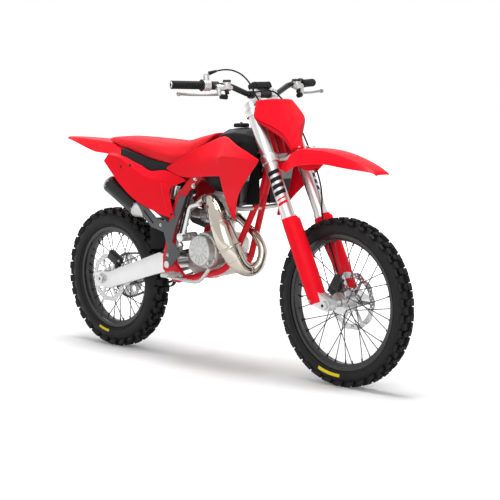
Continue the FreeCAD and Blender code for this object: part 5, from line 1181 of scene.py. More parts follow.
def addSilencer():
    back, front = place(*silencerShape["back"]), place(*silencerShape["front"])
    axis = front - back
    long, radius = axis.length * 1000, silencerShape["radius"]
    pieces = {}
    for name in ("can", "cap", "cone"):
        profile = [(long * along, radius * share + more) for along, share, more in silencerShape[name]]
        pieces[name] = lathed(back, axis, profile)
    rivets = []
    for share in silencerShape["rivetShares"]:
        for out in outwardRound(axis, silencerShape["rivets"]):
            spot = back + axis * share + out * (radius - silencerShape["rivetSunk"]) / 1000
            end = spot + out * silencerShape["rivetTall"] / 1000
            rivets.append(rod(spot, end, silencerShape["rivetRadius"] / 1000, sides=10, soften=0.0006))
    ends = joined([pieces["cone"], pieces["cap"]])
    keep(ends, "silencer_ends", "chassis", "silver_alloy", look="cast_alloy")
    keep(joined(rivets), "silencer_rivets", "chassis", "bright_steel")
    return keep(pieces["can"], "silencer_can", "chassis", "black_can", "silencer", smooth=40)


addExhaust()
addSilencer()
report("exhaust")


# Fork, clamps and steering. Heights are along the steering axis, turns from straight ahead.

fork = {
    "bandRadius": 26.2, "bandSteps": 12, "slant": 7,
    "stripes": ((524, 16), (497, 16), (471, 16), (445, 16)), "stripeTurn": (-104, 6),
    "marks": ((426, 6), (406, 11)), "markTurn": (-98, -14),
    "rings": ((330, 339, 24.5, 48, 1), (813, 823, 21, 40, 0.8), (823, 826, 15, 40, 0.8)),
    "adjuster": (821, 827, 9),
    "pinchHeights": (584, 600, 774, 788), "pinchAhead": 38.5, "pinchSide": 58, "pinchRadius": 4.6,
    "stemNut": (798, 806, 13),
    "barBoltSide": 45, "barBoltAheads": (-2.5, 28.5), "barBoltHeight": 872, "barBoltRadius": 4,
    "collarRows": ((318, 33.6), (322, 33.6), (350, 31.5), (356, 31.5)), "collarTurns": range(-100, 51, 15),
    "collarThickness": 2.2, "collarFacing": (330, -20),
    "collarBolts": ((334, -80, 35.5), (334, 30, 35.5)), "collarBoltRadius": 4.2,
    "guardRows": (    # height, radius, ahead, outer turn, inner turn
        (20, 36, 5, -96, 36), (28, 37, 6, -112, 56), (90, 37.5, 8, -116, 66), (180, 37, 8, -118, 76),
        (270, 36.5, 7, -118, 82), (312, 36, 6, -116, 82), (330, 37, 5, -112, 80), (346, 36, 5, -106, 76),
    ),
    "guardSteps": 14, "guardThickness": 2.5, "leftWider": 46, "widerFrom": 60, "widerOver": 200,
    "guardBolts": ((34, -88, 37.5), (40, 0, 44)), "guardBoltRadius": 4.5,
}
bothSides = ((-1, "right"), (1, "left"))


def softened(name, body, slot, width=0.8, look=None, angle=38, segments=2):    # a solid with its edges broken
    piece = copyNode(name)
    bevelled(piece, width / 1000, angle, segments=segments, loop_slide=False)
    return keep(piece, name + "_finished", body, slot, name, smooth=38, look=look)


def aroundLeg(side, up, radius, turn):    # a place on one fork leg's skin
    angle = math.radians(turn)
    ahead = bike["legOffset"] + radius * math.cos(angle)
    return steer(ahead, side * (bike["legSpacing"] - radius * math.sin(angle)), up)


def legBand(side, up, tall, turns):
    radius = fork["bandRadius"]
    rows = []
    for lift in (0, tall):
        row = []
        for step in range(fork["bandSteps"] + 1):
            share = step / fork["bandSteps"]
            turn = turns[0] + (turns[1] - turns[0]) * share
            row.append(aroundLeg(side, up + lift + fork["slant"] * share, radius, turn))
        rows.append(row)
    outward = aroundLeg(side, up, 2 * radius, (turns[0] + turns[1]) / 2) - aroundLeg(side, up, radius, 0)
    return shape(faceTowards(sheetOf(rows), outward), "SOLIDIFY", thickness=0.0004, offset=0)


def legBolts(side, table, radius):    # table holds height, turn and how far out
    bolts = []
    for up, turn, out in table:
        spot = aroundLeg(side, up, out, turn)
        bolts.append(bolt(spot, spot - legSpot(side, up), radius / 1000))
    return bolts


def addForkMarks():
    for side, name in bothSides:
        bars = [legBand(side, up, tall, fork["stripeTurn"]) for up, tall in fork["stripes"]]
        keep(joined(bars), name + "_fork_bars", "steering", "dark_alloy", look="black_plastic")
        marks = [legBand(side, up, tall, fork["markTurn"]) for up, tall in fork["marks"]]
        keep(joined(marks), name + "_fork_marks", "steering", "red_plastic")


def addForkFittings():
    seals, caps = [], []
    for side in (-1, 1):
        for low, high, radius, sides, edge in fork["rings"]:
            seals.append(rod(
                legSpot(side, low), legSpot(side, high), radius / 1000, sides=sides, soften=edge / 1000))
        low, high, radius = fork["adjuster"]
        caps.append(rod(legSpot(side, low), legSpot(side, high), radius / 1000, sides=6, soften=0.0006))
    keep(joined(seals), "fork_seals_and_caps", "steering", "dark_alloy")
    keep(joined(caps), "fork_adjusters", "steering", "red_metal")
    bolts = []
    for up in fork["pinchHeights"]:
        for side in (-fork["pinchSide"], fork["pinchSide"]):
            bolts.append(bolt(steer(fork["pinchAhead"], side, up), steerAhead, fork["pinchRadius"] / 1000))
    low, high, radius = fork["stemNut"]
    bolts.append(rod(steer(0, 0, low), steer(0, 0, high), radius / 1000, sides=6, soften=0.0008))
    for side in (-fork["barBoltSide"], fork["barBoltSide"]):
        for ahead in fork["barBoltAheads"]:
            spot = steer(ahead, side, fork["barBoltHeight"])
            bolts.append(bolt(spot, steerAxis, fork["barBoltRadius"] / 1000))
    keep(joined(bolts), "clamp_bolts", "steering", "bright_steel")


def addGuardCollars():
    bracket = []
    height, facing = fork["collarFacing"]
    for side in (-1, 1):
        rows = [[aroundLeg(side, up, radius, turn) for turn in fork["collarTurns"]]
                for up, radius in fork["collarRows"]]
        outward = aroundLeg(side, height, 60, facing) - aroundLeg(side, height, 20, facing)
        collar = faceTowards(sheetOf(rows), outward)
        bracket.append(smoothWall(collar, fork["collarThickness"], levels=1, offset=1))
        bracket += legBolts(side, fork["collarBolts"], fork["collarBoltRadius"])
    keep(joined(bracket), "guard_collars", "steering", "dark_red_plastic", look="red_plastic")


def addForkGuards():    # shields before the lower legs, the left one wider within
    shells, bolts = [], []
    for side in (-1, 1):
        rows = []
        for up, radius, ahead, outer, inner in fork["guardRows"]:
            if side > 0:
                inner += fork["leftWider"] * min(max((up - fork["widerFrom"]) / fork["widerOver"], 0), 1)
            row = []
            for step in range(fork["guardSteps"] + 1):
                turn = math.radians(outer + (inner - outer) * step / fork["guardSteps"])
                sideways = bike["legSpacing"] - radius * math.sin(turn)
                row.append(steer(bike["legOffset"] + ahead + radius * math.cos(turn), side * sideways, up))
            rows.append(row)
        shells.append(smoothWall(faceTowards(sheetOf(rows), steerAhead), fork["guardThickness"], levels=2))
        bolts += legBolts(side, fork["guardBolts"], fork["guardBoltRadius"])
    keep(joined(shells), "fork_guard_shells", "steering", "red_plastic", "fork_guards", smooth=40)
    keep(joined(bolts), "fork_guard_bolts", "steering", "bright_steel")


addForkMarks()
addForkFittings()
addGuardCollars()
addForkGuards()
softened("fork_clamps", "steering", "silver_alloy", 1.2)
softened("lower_legs", "steering", "bright_steel", 1.2, look="silver_alloy")
report("fork")


# Bar and its controls

barShape = {
    "ahead": 13, "height": 860, "riseSide": 158, "rise": 38, "endSide": 378, "sweep": 70, "endRise": 78,
}
gripShape = {
    "length": 125, "ribs": 18, "firstRib": 7, "pitch": 6,
    "rib": ((0, 14.2), (0.8, 15.5), (3.4, 15.5), (4.2, 14.2)),
    "outer": ((0.0, 11.3), (0.0, 14.6), (1.2, 15.6), (5, 15.6)),
    "flange": ((115, 14.6), (117, 20.0), (119, 22.0), (123, 22.0), (125, 19.5), (125, 11.3)),
    "endRing": ((-1.5, 7.6), (-1.5, 10.4), (0.4, 11.2), (14, 11.1), (14, 7.6)),
}


def barAt(distance, side):    # how far in from the bar's end, on the right (-1) or left (1)
    ahead, height = barShape["ahead"], barShape["height"]
    end = steer(ahead - barShape["sweep"], side * barShape["endSide"], height + barShape["endRise"])
    bend = steer(ahead, side * barShape["riseSide"], height + barShape["rise"])
    return end + (bend - end).normalized() * distance / 1000


def addGrips():
    ends = []
    profile = list(gripShape["outer"])
    for number in range(gripShape["ribs"]):
        start = gripShape["firstRib"] + number * gripShape["pitch"]
        profile += [(start + along, radius) for along, radius in gripShape["rib"]]
    profile += gripShape["flange"]
    for side, name in bothSides:
        start, end = barAt(0, side), barAt(gripShape["length"], side)
        grip = lathed(start, end - start, profile, steps=48)
        keep(grip, name + "_grip", "steering", "black_rubber", smooth=30)
        ends.append(lathed(start, end - start, gripShape["endRing"], steps=40))
    keep(joined(ends), "bar_end_rings", "steering", "silver_alloy")
    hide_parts("grips")


# A shift is outwards along the bar, ahead and up. A form has two shifts, a radius, its sides and its edge.

controls = {
    "perchOuter": 160, "perchInner": 188, "barrelReach": 218, "tipReach": -5,
    "perch": ((0, 11.2), (0, 14.5), (1.5, 16), (26.5, 16), (28, 14.5), (28, 11.2)),
    "barrelShift": (0, 27, -8), "pivotShift": (-7, 32, -30), "tipShift": (0, 44, -30), "cupShift": (15, 0, 0),
    "ear": ((-6, 12, 0), (-6, 30, -12), 6, 24, 0),
    "barrel": ((0, 0, 0), (58, 0, 0), 11.5, 32, 1.5), "snout": ((-7, 0, 0), (0, 0, 0), 7.5, 24, 1),
    "boss": ((0, 0, -7), (0, 0, 21), 8.5, 24, 1), "holder": ((0, 0, -2), (0, 0, 22), 14.8, 36, 1.2),
    "rightLid": ((0, 0, 22), (0, 0, 30), 15.5, 36, 2), "leftLid": ((0, 0, 22), (0, 0, 30), 19.5, 36, 2),
    "boot": ((-4, 0, -10), (-34, 0, -12), 9.5, 24, 3), "arm": ((-34, 0, -2), (-30, 0, 16), 8, 20, 2),
    "screws": (((0, -7, 30), (0, -7, 31), 2.2, 10, 0), ((0, 7, 30), (0, 7, 31), 2.2, 10, 0)),
    "leverRadius": 5.8, "leverDrop": 3.5, "ballHalf": 4.5, "ballShare": 1.35,
    "lever": (    # share of its reach, bow ahead, sag
        (0.0, 0, 0), (0.10, 5, 0), (0.24, 8, 1), (0.42, 3, 2), (0.62, -3, 2), (0.80, -4, 1), (0.92, 1, 0),
        (1.0, 3, 0),
    ),
}


def bentLever(points, radius):    # a blade that swells to a ball at its end
    count = len(points) - 1
    radii = [0.75 + 0.25 * abs(index / count - 0.35) for index in range(count)] + [0.9]
    blade = wire(points, radius, radii=radii)
    half = across * controls["ballHalf"] / 1000
    ball = rod(points[-1] - half, points[-1] + half, radius * controls["ballShare"], sides=20, soften=0.002)
    return joined([blade, ball])


def shifted(base, along, shift):
    outwards, ahead, up = shift
    return base + (along * outwards + Vector((ahead, 0, up))) / 1000


def barForm(base, along, form):
    start, end = (shifted(base, along, shift) for shift in form[:2])
    radius, sides, edge = form[2:]
    return rod(start, end, radius / 1000, sides=sides, soften=edge / 1000)


def addControls():
    for side, name in bothSides:
        outer, inner = barAt(controls["perchOuter"], side), barAt(controls["perchInner"], side)
        along = (outer - inner).normalized()
        start = shifted(barAt(controls["barrelReach"], side), along, controls["barrelShift"])
        pivot = shifted(outer, along, controls["pivotShift"])
        tip = shifted(barAt(controls["tipReach"], side), along, controls["tipShift"])
        cup = shifted(start, along, controls["cupShift"])
        master = [barForm(start, along, controls[part]) for part in ("barrel", "snout")]
        master += [barForm(pivot, along, controls["boss"]), barForm(cup, along, controls["holder"])]
        keep(
            joined(master), name + "_master", "steering", "silver_alloy", name + "_controls",
            look="cast_alloy")
        points = [
            shifted(pivot + (tip - pivot) * share, along, (0, bow, -controls["leverDrop"] - sag))
            for share, bow, sag in controls["lever"]
        ]
        lever = bentLever(points, controls["leverRadius"] / 1000)
        keep(lever, name + "_lever", "steering", "silver_alloy", look="lever_alloy")
        clamp = [lathed(outer, inner - outer, controls["perch"], 40), barForm(outer, along, controls["ear"])]
        clamp.append(barForm(cup, along, controls[name + "Lid"]))
        keep(joined(clamp), name + "_perch", "steering", "dark_alloy")
        boot = [barForm(pivot, along, controls[part]) for part in ("boot", "arm")]
        keep(joined(boot), name + "_lever_boot", "steering", "black_rubber")
        screws = [barForm(cup, along, form) for form in controls["screws"]]
        keep(joined(screws), name + "_lid_screws", "steering", "bright_steel")


barPad = {
    "voxel": 0.004, "smoothing": 8, "pressure": 2.0, "steps": 10, "cap": 0.003, "fill": 0.9,
    "low": 881.9, "upShare": 0.94, "seamSide": 36, "seamRadius": 0.9,
    "seam": (    # ahead, up
        (-6.6, 0), (-7.4, 8), (-6.5, 25), (2, 27.6), (13, 28), (24, 27.6), (32.5, 25), (33.4, 8), (32.6, 0),
    ),
}


def addBarPad():    # foam in a tight cover
    piece = copyNode("bar_pad")
    shape(piece, "REMESH", mode="VOXEL", voxel_size=barPad["voxel"], use_smooth_shade=True)
    shape(piece, "SMOOTH", factor=0.6, iterations=barPad["smoothing"])
    swell(piece, barPad["pressure"], barPad["steps"], barPad["cap"])
    shape(piece, "SUBSURF", levels=1, render_levels=1)
    keep(piece, "bar_pad_cushion", "steering", "black_rubber", "bar_pad", smooth=0)
    bpy.ops.object.shade_smooth()
    seams = []
    for side in (-barPad["seamSide"], barPad["seamSide"]):
        points = [steer(ahead, side, barPad["low"] + up * barPad["upShare"]) for ahead, up in barPad["seam"]]
        seams.append(wire(points, barPad["seamRadius"] / 1000))
    keep(joined(seams), "bar_pad_seams", "steering", "black_rubber", look="black_plastic")


throttle = {
    "from": 125.3, "to": 155.3, "towerTall": 40, "towerRadius": 11.5, "nutTall": 4, "nutRadius": 9,
    "case": (
        (0, 11.2), (0, 18), (2, 20.6), (13.5, 21), (14.2, 20.2), (15, 20.2), (15.7, 21), (28, 20.6),
        (30, 18), (30, 11.2),
    ),
}


def addThrottle():
    outer, inner = barAt(throttle["from"], -1), barAt(throttle["to"], -1)
    case = lathed(outer, inner - outer, throttle["case"], 48)
    middle = (outer + inner) / 2
    top = middle + upward * throttle["towerTall"] / 1000
    tower = rod(middle, top, throttle["towerRadius"] / 1000, sides=32, soften=0.0015)
    end = top + upward * throttle["nutTall"] / 1000
    nut = rod(top, end, throttle["nutRadius"] / 1000, sides=6, soften=0.0008)
    piece = joined([case, tower, nut])
    keep(piece, "throttle_case", "steering", "silver_alloy", "throttle_housing", look="cast_alloy")


addGrips()
addControls()
addBarPad()
addThrottle()
report("bar and controls")


# Brakes, chain and final drive

drive = {
    "side": 59.5, "frontReach": 497, "frontHeight": 402, "frontPitch": 28.5, "rearPitch": 93, "links": 104,
    "frontSteps": 60, "rearSteps": 160, "plateHalf": 4.6, "plateThickness": 1.5, "waistShare": 0.72,
    "waistHalf": 0.9, "gauges": (4.4, 6.2), "pinRadius": 2.2, "pinPast": 1, "rollerRadius": 3.7,
    "rollerHalf": 3.6,
}


def chainLoop():    # the pins' places along the pitch line, evenly spaced
    front = place(drive["frontReach"], 0, drive["frontHeight"])
    rear = rearAxle
    run = front - rear
    tilt = math.atan2(run.z, run.x)
    lean = math.acos((drive["rearPitch"] - drive["frontPitch"]) / 1000 / run.length)
    points = []

    def arc(centre, radius, start, end, count):
        for step in range(count):
            turn = start + (end - start) * step / count
            points.append(centre + Vector((math.cos(turn), 0, math.sin(turn))) * radius / 1000)

    arc(front, drive["frontPitch"], tilt + lean, tilt - lean, drive["frontSteps"])
    arc(rear, drive["rearPitch"], tilt - lean, tilt + lean - math.tau, drive["rearSteps"])
    points.append(points[0])
    lengths = [(after - before).length for before, after in zip(points, points[1:])]
    pitch = sum(lengths) / drive["links"]
    pins = []
    travelled, index = 0.0, 0
    for number in range(drive["links"]):
        goal = number * pitch
        while travelled + lengths[index] < goal:
            travelled += lengths[index]
            index += 1
        pins.append(points[index].lerp(points[index + 1], (goal - travelled) / lengths[index]))
    return pins


def linkPlate(length, offset):    # one waisted side plate, lying along X
    activate(None)
    bpy.ops.mesh.primitive_circle_add(
        vertices=16, radius=drive["plateHalf"] / 1000, fill_type="NGON", rotation=(math.pi / 2, 0, 0))
    side = settle(bpy.context.object)
    waist = drive["waistHalf"] / 1000
    for vertex in side.data.vertices:
        if abs(vertex.co.x) < waist:
            vertex.co.z *= drive["waistShare"]
        else:
            vertex.co.x += math.copysign(length / 2, vertex.co.x)
    shape(side, "SOLIDIFY", thickness=drive["plateThickness"] / 1000, offset=0)
    side.data.transform(Matrix.Translation((0, offset, 0)))
    return side


def chainLink(pitch, gauge):
    plates = [linkPlate(pitch, side * gauge / 1000) for side in (-1, 1)]
    back, front = Vector((-pitch / 2, 0, 0)), Vector((pitch / 2, 0, 0))
    pinHalf = across * (gauge + drive["pinPast"]) / 1000
    rollerHalf = across * drive["rollerHalf"] / 1000
    pin = rod(back - pinHalf, back + pinHalf, drive["pinRadius"] / 1000, sides=8)
    roller = rod(front - rollerHalf, front + rollerHalf, drive["rollerRadius"] / 1000, sides=10)
    return joined(plates + [pin, roller])


def addChain():
    pins = chainLoop()
    kinds = [chainLink((pins[1] - pins[0]).length, gauge) for gauge in drive["gauges"]]
    links = []
    for number, pin in enumerate(pins):
        following = pins[(number + 1) % len(pins)]
        along = (following - pin).normalized()
        turn = Matrix((along, across, along.cross(across))).transposed().to_4x4()
        mesh = kinds[number % 2].data.copy()
        mesh.transform(Matrix.Translation((pin + following) / 2 + across * drive["side"] / 1000) @ turn)
        link = bpy.data.objects.new("link", mesh)
        bpy.context.scene.collection.objects.link(link)
        links.append(link)
    for kind in kinds:
        bpy.data.objects.remove(kind)
    keep(joined(links), "chain_links", "chassis", "chain_steel", "chain", smooth=35)


brakes = {
    "drilled": {    # the wheel, how far out it lies, and rows of holes: reach, radius, count, first turn
        "front_disc": (
            "front_wheel", frontAxle, 30, 60, ((92, 2.6, 30, 0), (100, 2.6, 30, 6), (44, 3.2, 6, 30))),
        "rear_disc": (
            "rear_wheel", rearAxle, -70, -40, ((86, 2.6, 30, 0), (94, 2.6, 30, 6), (42, 3.2, 6, 30))),
        "rear_sprocket": ("rear_wheel", rearAxle, 40, 80, ((64, 13.5, 6, 0), (72, 5.5, 6, 30))),
    },
    "bolts": {    # the wheel, then side, reach, count, which way, radius and first turn
        "front_disc_bolts": ("front_wheel", frontAxle, 45.5, 28.6, 6, 1, 3.4, 0),
        "rear_disc_bolts": ("rear_wheel", rearAxle, -53.5, 28.6, 6, -1, 3.4, 0),
        "sprocket_bolts": ("rear_wheel", rearAxle, 62.1, 42, 6, 1, 4.2, 30),
    },
    "caliperTurn": 62, "caliperOut": 96, "caliperSide": 63.2, "pistonShift": 18, "pistonRadius": 11,
    "pistonTall": 4, "boltShift": 33, "boltOut": 10, "boltRadius": 4.5,
}


def aboutAxle(centre, reach, side, count, start):    # places evenly round an axle
    angles = [math.radians(start + 360 * number / count) for number in range(count)]
    return [centre + Vector((math.cos(turn) * reach, side, math.sin(turn) * reach)) / 1000 for turn in angles]


def addDrilled(name):    # a plate with rows of round holes
    body, centre, low, high, holes = brakes["drilled"][name]
    cutters = []
    for reach, radius, count, turn in holes:
        for spot in aboutAxle(centre, reach, 0, count, turn):
            start, end = spot + across * low / 1000, spot + across * high / 1000
            cutters.append(rod(start, end, radius / 1000, sides=16))
    piece = copyNode(name)
    cutAway(piece, joined(cutters))
    keep(piece, name + "_drilled", body, "bright_steel", name, smooth=30)


def boltCircle(centre, side, reach, count, outward, radius, start):
    spots = aboutAxle(centre, reach, side, count, start)
    return joined([bolt(spot, across * outward, radius / 1000) for spot in spots])


def addPlateBolts(name):
    body, centre, *values = brakes["bolts"][name]
    keep(boltCircle(centre, *values), name, body, "dark_alloy")


def addDiscs():
    addDrilled("front_disc")
    addDrilled("rear_disc")
    addPlateBolts("front_disc_bolts")
    addPlateBolts("rear_disc_bolts")
    addDrilled("rear_sprocket")
    addPlateBolts("sprocket_bolts")


def addCalipers():
    for name, body in (("rear_caliper", "chassis"), ("front_caliper", "steering")):
        softened(name, body, "dark_alloy", 1.6, angle=30, segments=3)
    turn = math.radians(brakes["caliperTurn"])
    out = Vector((math.cos(turn), 0, math.sin(turn)))
    along = across.cross(out) / 1000
    heart = rearAxle + (out * brakes["caliperOut"] - across * brakes["caliperSide"]) / 1000
    tall = across * brakes["pistonTall"] / 1000
    pieces = []
    for shift in (-brakes["pistonShift"], brakes["pistonShift"]):
        spot = heart + along * shift
        pieces.append(rod(spot, spot - tall, brakes["pistonRadius"] / 1000, sides=32, soften=0.001))
    for shift in (-brakes["boltShift"], brakes["boltShift"]):
        spot = heart + along * shift + out * brakes["boltOut"] / 1000
        pieces.append(bolt(spot, -across, brakes["boltRadius"] / 1000))
    keep(joined(pieces), "rear_caliper_caps", "chassis", "bright_steel")


addChain()
addDiscs()
addCalipers()
report("brakes and chain")


# Engine. Profiles hold a distance along the axis and a radius.

engine = {
    "crank": (640, 0, 462),
    "cover": (
        (-62.3, 30), (-62.3, 72), (-70, 72), (-88, 70.5), (-95, 69), (-96.5, 66), (-97, 62.5), (-118, 60.5),
        (-124, 58), (-126.4, 54), (-126.8, 47), (-125.2, 44.5), (-125.2, 20.5), (-127.4, 18), (-127.6, 8),
        (-127.6, 2),
    ),
    "coverSide": 125.2, "coverSpokes": 12, "spokeFrom": 19, "spokeTo": 45.5, "spokeRadius": 2.6,
    "spokeEndRadius": 4.2, "spokeFlat": 0.8,
    "kickPivot": (554, -112, 510), "kickBoss": ((0, 2), (0, 15), (2, 17), (49, 17), (49, 2)),
    "webSides": (-94, -62.3),
    "webCorners": {(-1, -1): (554, 501), (1, -1): (640, 462), (1, 1): (640, 496), (-1, 1): (554, 519)},
    "coverBolts": ((-96, 66.3, 8, 3.6, 18), (-126.2, 51, 6, 3.2, 30)),    # side, reach, count, radius, turn
    "flywheel": (
        (88, 54), (90, 52), (91.2, 46), (91.2, 40), (90.4, 38), (90.4, 12), (91.4, 10), (91.4, 2), (80, 2),
        (80, 54),
    ),
    "flywheelBolts": (90.2, 49, 6, 1, 3.4, 15),
    "cylinderLow": (648, 0, 524), "cylinderHigh": (672, 0, 690), "baseEdge": 1, "jacketIn": 1.4,
    "jacket": (
        (0, 12), (0, 52), (7, 52), (8, 47), (46, 46), (48, 51), (56, 51), (58, 47), (112, 47), (114, 52),
        (121, 52), (122, 49), (150, 48.5), (152, 52), (160, 51), (166, 44), (167.7, 30), (167.7, 12),
    ),
    "headBolts": 7, "headReach": 34, "headSunk": 1.2, "headRadius": 4.6,
    "plugRise": 10, "plug": ((0, 3), (0, 9.5), (3, 10.5), (24, 9), (28, 6), (28, 2)),
}


def addClutchCover():
    centre = place(*engine["crank"])
    pieces = [ring(centre, engine["cover"])]
    start, end = forward * engine["spokeFrom"] / 1000, forward * engine["spokeTo"] / 1000
    spoke = rod(
        start, end, engine["spokeRadius"] / 1000, sides=10, endRadius=engine["spokeEndRadius"] / 1000,
        soften=0.0006)
    spoke.data.transform(Matrix.Scale(engine["spokeFlat"], 4, across))
    spoke.data.transform(Matrix.Translation(centre - across * engine["coverSide"] / 1000))
    pieces.append(turnedCopies(spoke, centre, engine["coverSpokes"]))
    pieces.append(lathed(place(*engine["kickPivot"]), across, engine["kickBoss"], 40))
    activate(None)
    bpy.ops.mesh.primitive_cube_add(size=1)
    web = bpy.context.object
    for vertex in web.data.vertices:
        x, z = engine["webCorners"][(1 if vertex.co.x > 0 else -1, 1 if vertex.co.z > 0 else -1)]
        vertex.co = place(x, engine["webSides"][1 if vertex.co.y > 0 else 0], z)
    keep(joined(pieces + [web]), "clutch_cover_face", "chassis", "cast_alloy", "clutch_cover", smooth=32)
    bolts = []
    for side, reach, count, radius, start in engine["coverBolts"]:
        bolts += [bolt(spot, -across, radius / 1000) for spot in aboutAxle(centre, reach, side, count, start)]
    keep(joined(bolts), "clutch_cover_bolts", "chassis", "bright_steel")
    keep(ring(centre, engine["flywheel"]), "flywheel_face", "chassis", "cast_alloy", smooth=32)
    keep(boltCircle(centre, *engine["flywheelBolts"]), "flywheel_bolts", "chassis", "bright_steel")


def addCylinder():
    low, high = place(*engine["cylinderLow"]), place(*engine["cylinderHigh"])
    axis = (high - low).normalized()
    jacket = [(along, radius - engine["jacketIn"]) for along, radius in engine["jacket"]]
    body = lathed(low, high - low, jacket, 64)
    base = bevelled(copyNode("cylinder"), engine["baseEdge"] / 1000, 40)
    keep(base, "cylinder_base", "chassis", "cast_alloy", "cylinder", smooth=38)
    keep(body, "cylinder_jacket", "chassis", "cast_alloy", smooth=30)
    bolts = []
    for out in outwardRound(axis, engine["headBolts"]):
        spot = high + (out * engine["headReach"] - axis * engine["headSunk"]) / 1000
        bolts.append(bolt(spot, axis, engine["headRadius"] / 1000))
    keep(joined(bolts), "head_bolts", "chassis", "bright_steel")
    cap = lathed(high + axis * engine["plugRise"] / 1000, axis, engine["plug"], 32)
    keep(cap, "plug_cap", "chassis", "black_rubber")


carburettor = {
    "height": 590, "clipRadius": 25.2, "clipWall": 4, "clipWide": 4, "clipReaches": (588, 576, 536),
    "topPlace": (565.5, 0, 634), "top": ((0, 4), (0, 20.4), (5, 20.4), (6.5, 18), (9, 10), (9, 4)),
    "bowlPlace": (565.5, 0, 549),
    "bowl": ((-1.5, 2), (-1.5, 8), (0, 9), (0, 18), (2, 20.2), (12, 20.2), (12, 4)),
}


def addCarburettor():
    softened("carburettor", "chassis", "cast_alloy", 1.0)
    radius, wide = carburettor["clipRadius"], carburettor["clipWide"]
    inner = radius - carburettor["clipWall"]
    profile = [(0, inner), (0, radius), (wide, radius), (wide, inner)]
    clips = [
        lathed(place(x, 0, carburettor["height"]), forward, profile, 40) for x in carburettor["clipReaches"]]
    keep(joined(clips), "carburettor_clips", "chassis", "bright_steel")
    top = lathed(place(*carburettor["topPlace"]), upward, carburettor["top"], 40)
    bowl = lathed(place(*carburettor["bowlPlace"]), upward, carburettor["bowl"], 40)
    keep(joined([top, bowl]), "carburettor_caps", "chassis", "cast_alloy", look="dark_alloy")


radiator = {
    "fins": 30, "finRadius": 0.7, "finFace": 15.4, "finBack": (826, 853), "finLean": 32, "finSide": 62,
    "finSpread": (67, 75), "finHeights": (665, 783),
    "upperHose": (
        (842, 84, 790), (822, 80, 778), (800, 66, 752), (768, 46, 726), (736, 32, 712), (712, 24, 704)),
    "lowerHose": (
        (838, -84, 656), (822, -86, 640), (800, -84, 618), (776, -74, 590), (752, -64, 556),
        (730, -60, 526), (716, -60, 508)),
    "crossing": (
        (832, -128, 648), (838, -104, 636), (843, -60, 634), (846, 0, 634), (843, 60, 634), (838, 104, 636)),
    "hoseRadius": 8.5, "crossingRadius": 9,
    "slats": 6, "slatStart": 846, "slatPitch": 5, "slatSide": 60, "slatStep": 6, "slatWide": 9,
    "slatLean": 0.2, "slatHeights": (652, 720, 788), "slatThickness": 2,
    "walls": ((846, (648, 654), 2), (842, (652, 720, 788), 1.5)),    # first place, heights, thickness
    "wallColumns": 4, "wallPitch": 9, "wallSide": 62, "wallStep": 11,
}


def radiatorFin(side, share, face):
    ends = []
    for x, spread, z in zip(radiator["finBack"], radiator["finSpread"], radiator["finHeights"]):
        sideways = side * (radiator["finSide"] + spread * share)
        ends.append(place(x + radiator["finLean"] * share + face, sideways, z))
    return rod(*ends, radiator["finRadius"] / 1000, sides=4)


def addRadiators():
    fins = []
    for side in (-1, 1):
        for number in range(radiator["fins"]):
            for face in (radiator["finFace"], -radiator["finFace"]):
                fins.append(radiatorFin(side, (number + 0.5) / radiator["fins"], face))
    keep(joined(fins), "radiator_fins", "chassis", "dark_alloy", look="cast_alloy")
    softened("radiators", "chassis", "dark_alloy", 1.0)
    hose = radiator["hoseRadius"] / 1000
    hoses = [wire([place(x, side * y, z) for x, y, z in radiator["upperHose"]], hose) for side in (-1, 1)]
    keep(joined(hoses), "coolant_hoses", "chassis", "black_rubber")
    lower = wire([place(*spot) for spot in radiator["lowerHose"]], hose)
    crossing = wire([place(*spot) for spot in radiator["crossing"]], radiator["crossingRadius"] / 1000)
    keep(joined([lower, crossing]), "lower_coolant_hose", "chassis", "silver_alloy", look="cast_alloy")


def addLouvres():    # slats between the radiators and the shrouds
    slats = []
    for side in (-1, 1):
        for number in range(radiator["slats"]):
            x = radiator["slatStart"] + number * radiator["slatPitch"]
            wide = radiator["slatSide"] - number * radiator["slatStep"]
            rows = [[place(x + shift, side * (wide - shift * radiator["slatLean"]), z)
                     for shift in (0, radiator["slatWide"])] for z in radiator["slatHeights"]]
            slats.append(smoothWall(faceTowards(sheetOf(rows), -across), radiator["slatThickness"], levels=1))
        for start, heights, thickness in radiator["walls"]:
            rows = [[place(start + number * radiator["wallPitch"],
                           side * (radiator["wallSide"] - number * radiator["wallStep"]), z)
                     for number in range(radiator["wallColumns"])] for z in heights]
            slats.append(smoothWall(faceTowards(sheetOf(rows), -forward), thickness, levels=1))
    keep(joined(slats), "radiator_louvres", "chassis", "black_plastic")


softened("crankcase", "chassis", "case_alloy", 1.2)
addClutchCover()
addCylinder()
addCarburettor()
addRadiators()
addLouvres()
softened("kick_lever", "chassis", "silver_alloy", 0.8)
report("engine")


# Frame fittings, swingarm, tank and small parts

armTrim = {
    "sliderLine": ((452, 446), (430, 441), (400, 434), (340, 420), (250, 396)),
    "sliderSides": ((1, 70, 88), (-1, 72, 88)), "sliderRise": 7, "sliderDrops": (4, 6),
    "sliderThickness": 2.5,
    "axleHeight": bike["rearRadius"], "plateSide": 92.2,
    "studs": ((-30, 1, 1.2, 10), (26, 1, 1.2, 10)), "nut": (0, 3, 3, 23.5),    # place, in, out, radius
    "adjusterSide": 81, "adjuster": (-60, -44, 4.5), "adjusterHead": (-58, 5.5),
    "guide": ((196, 268), (214, 262), (250, 262), (282, 272), (292, 290)), "guideSides": (50, 69),
    "guideThickness": 4,
}


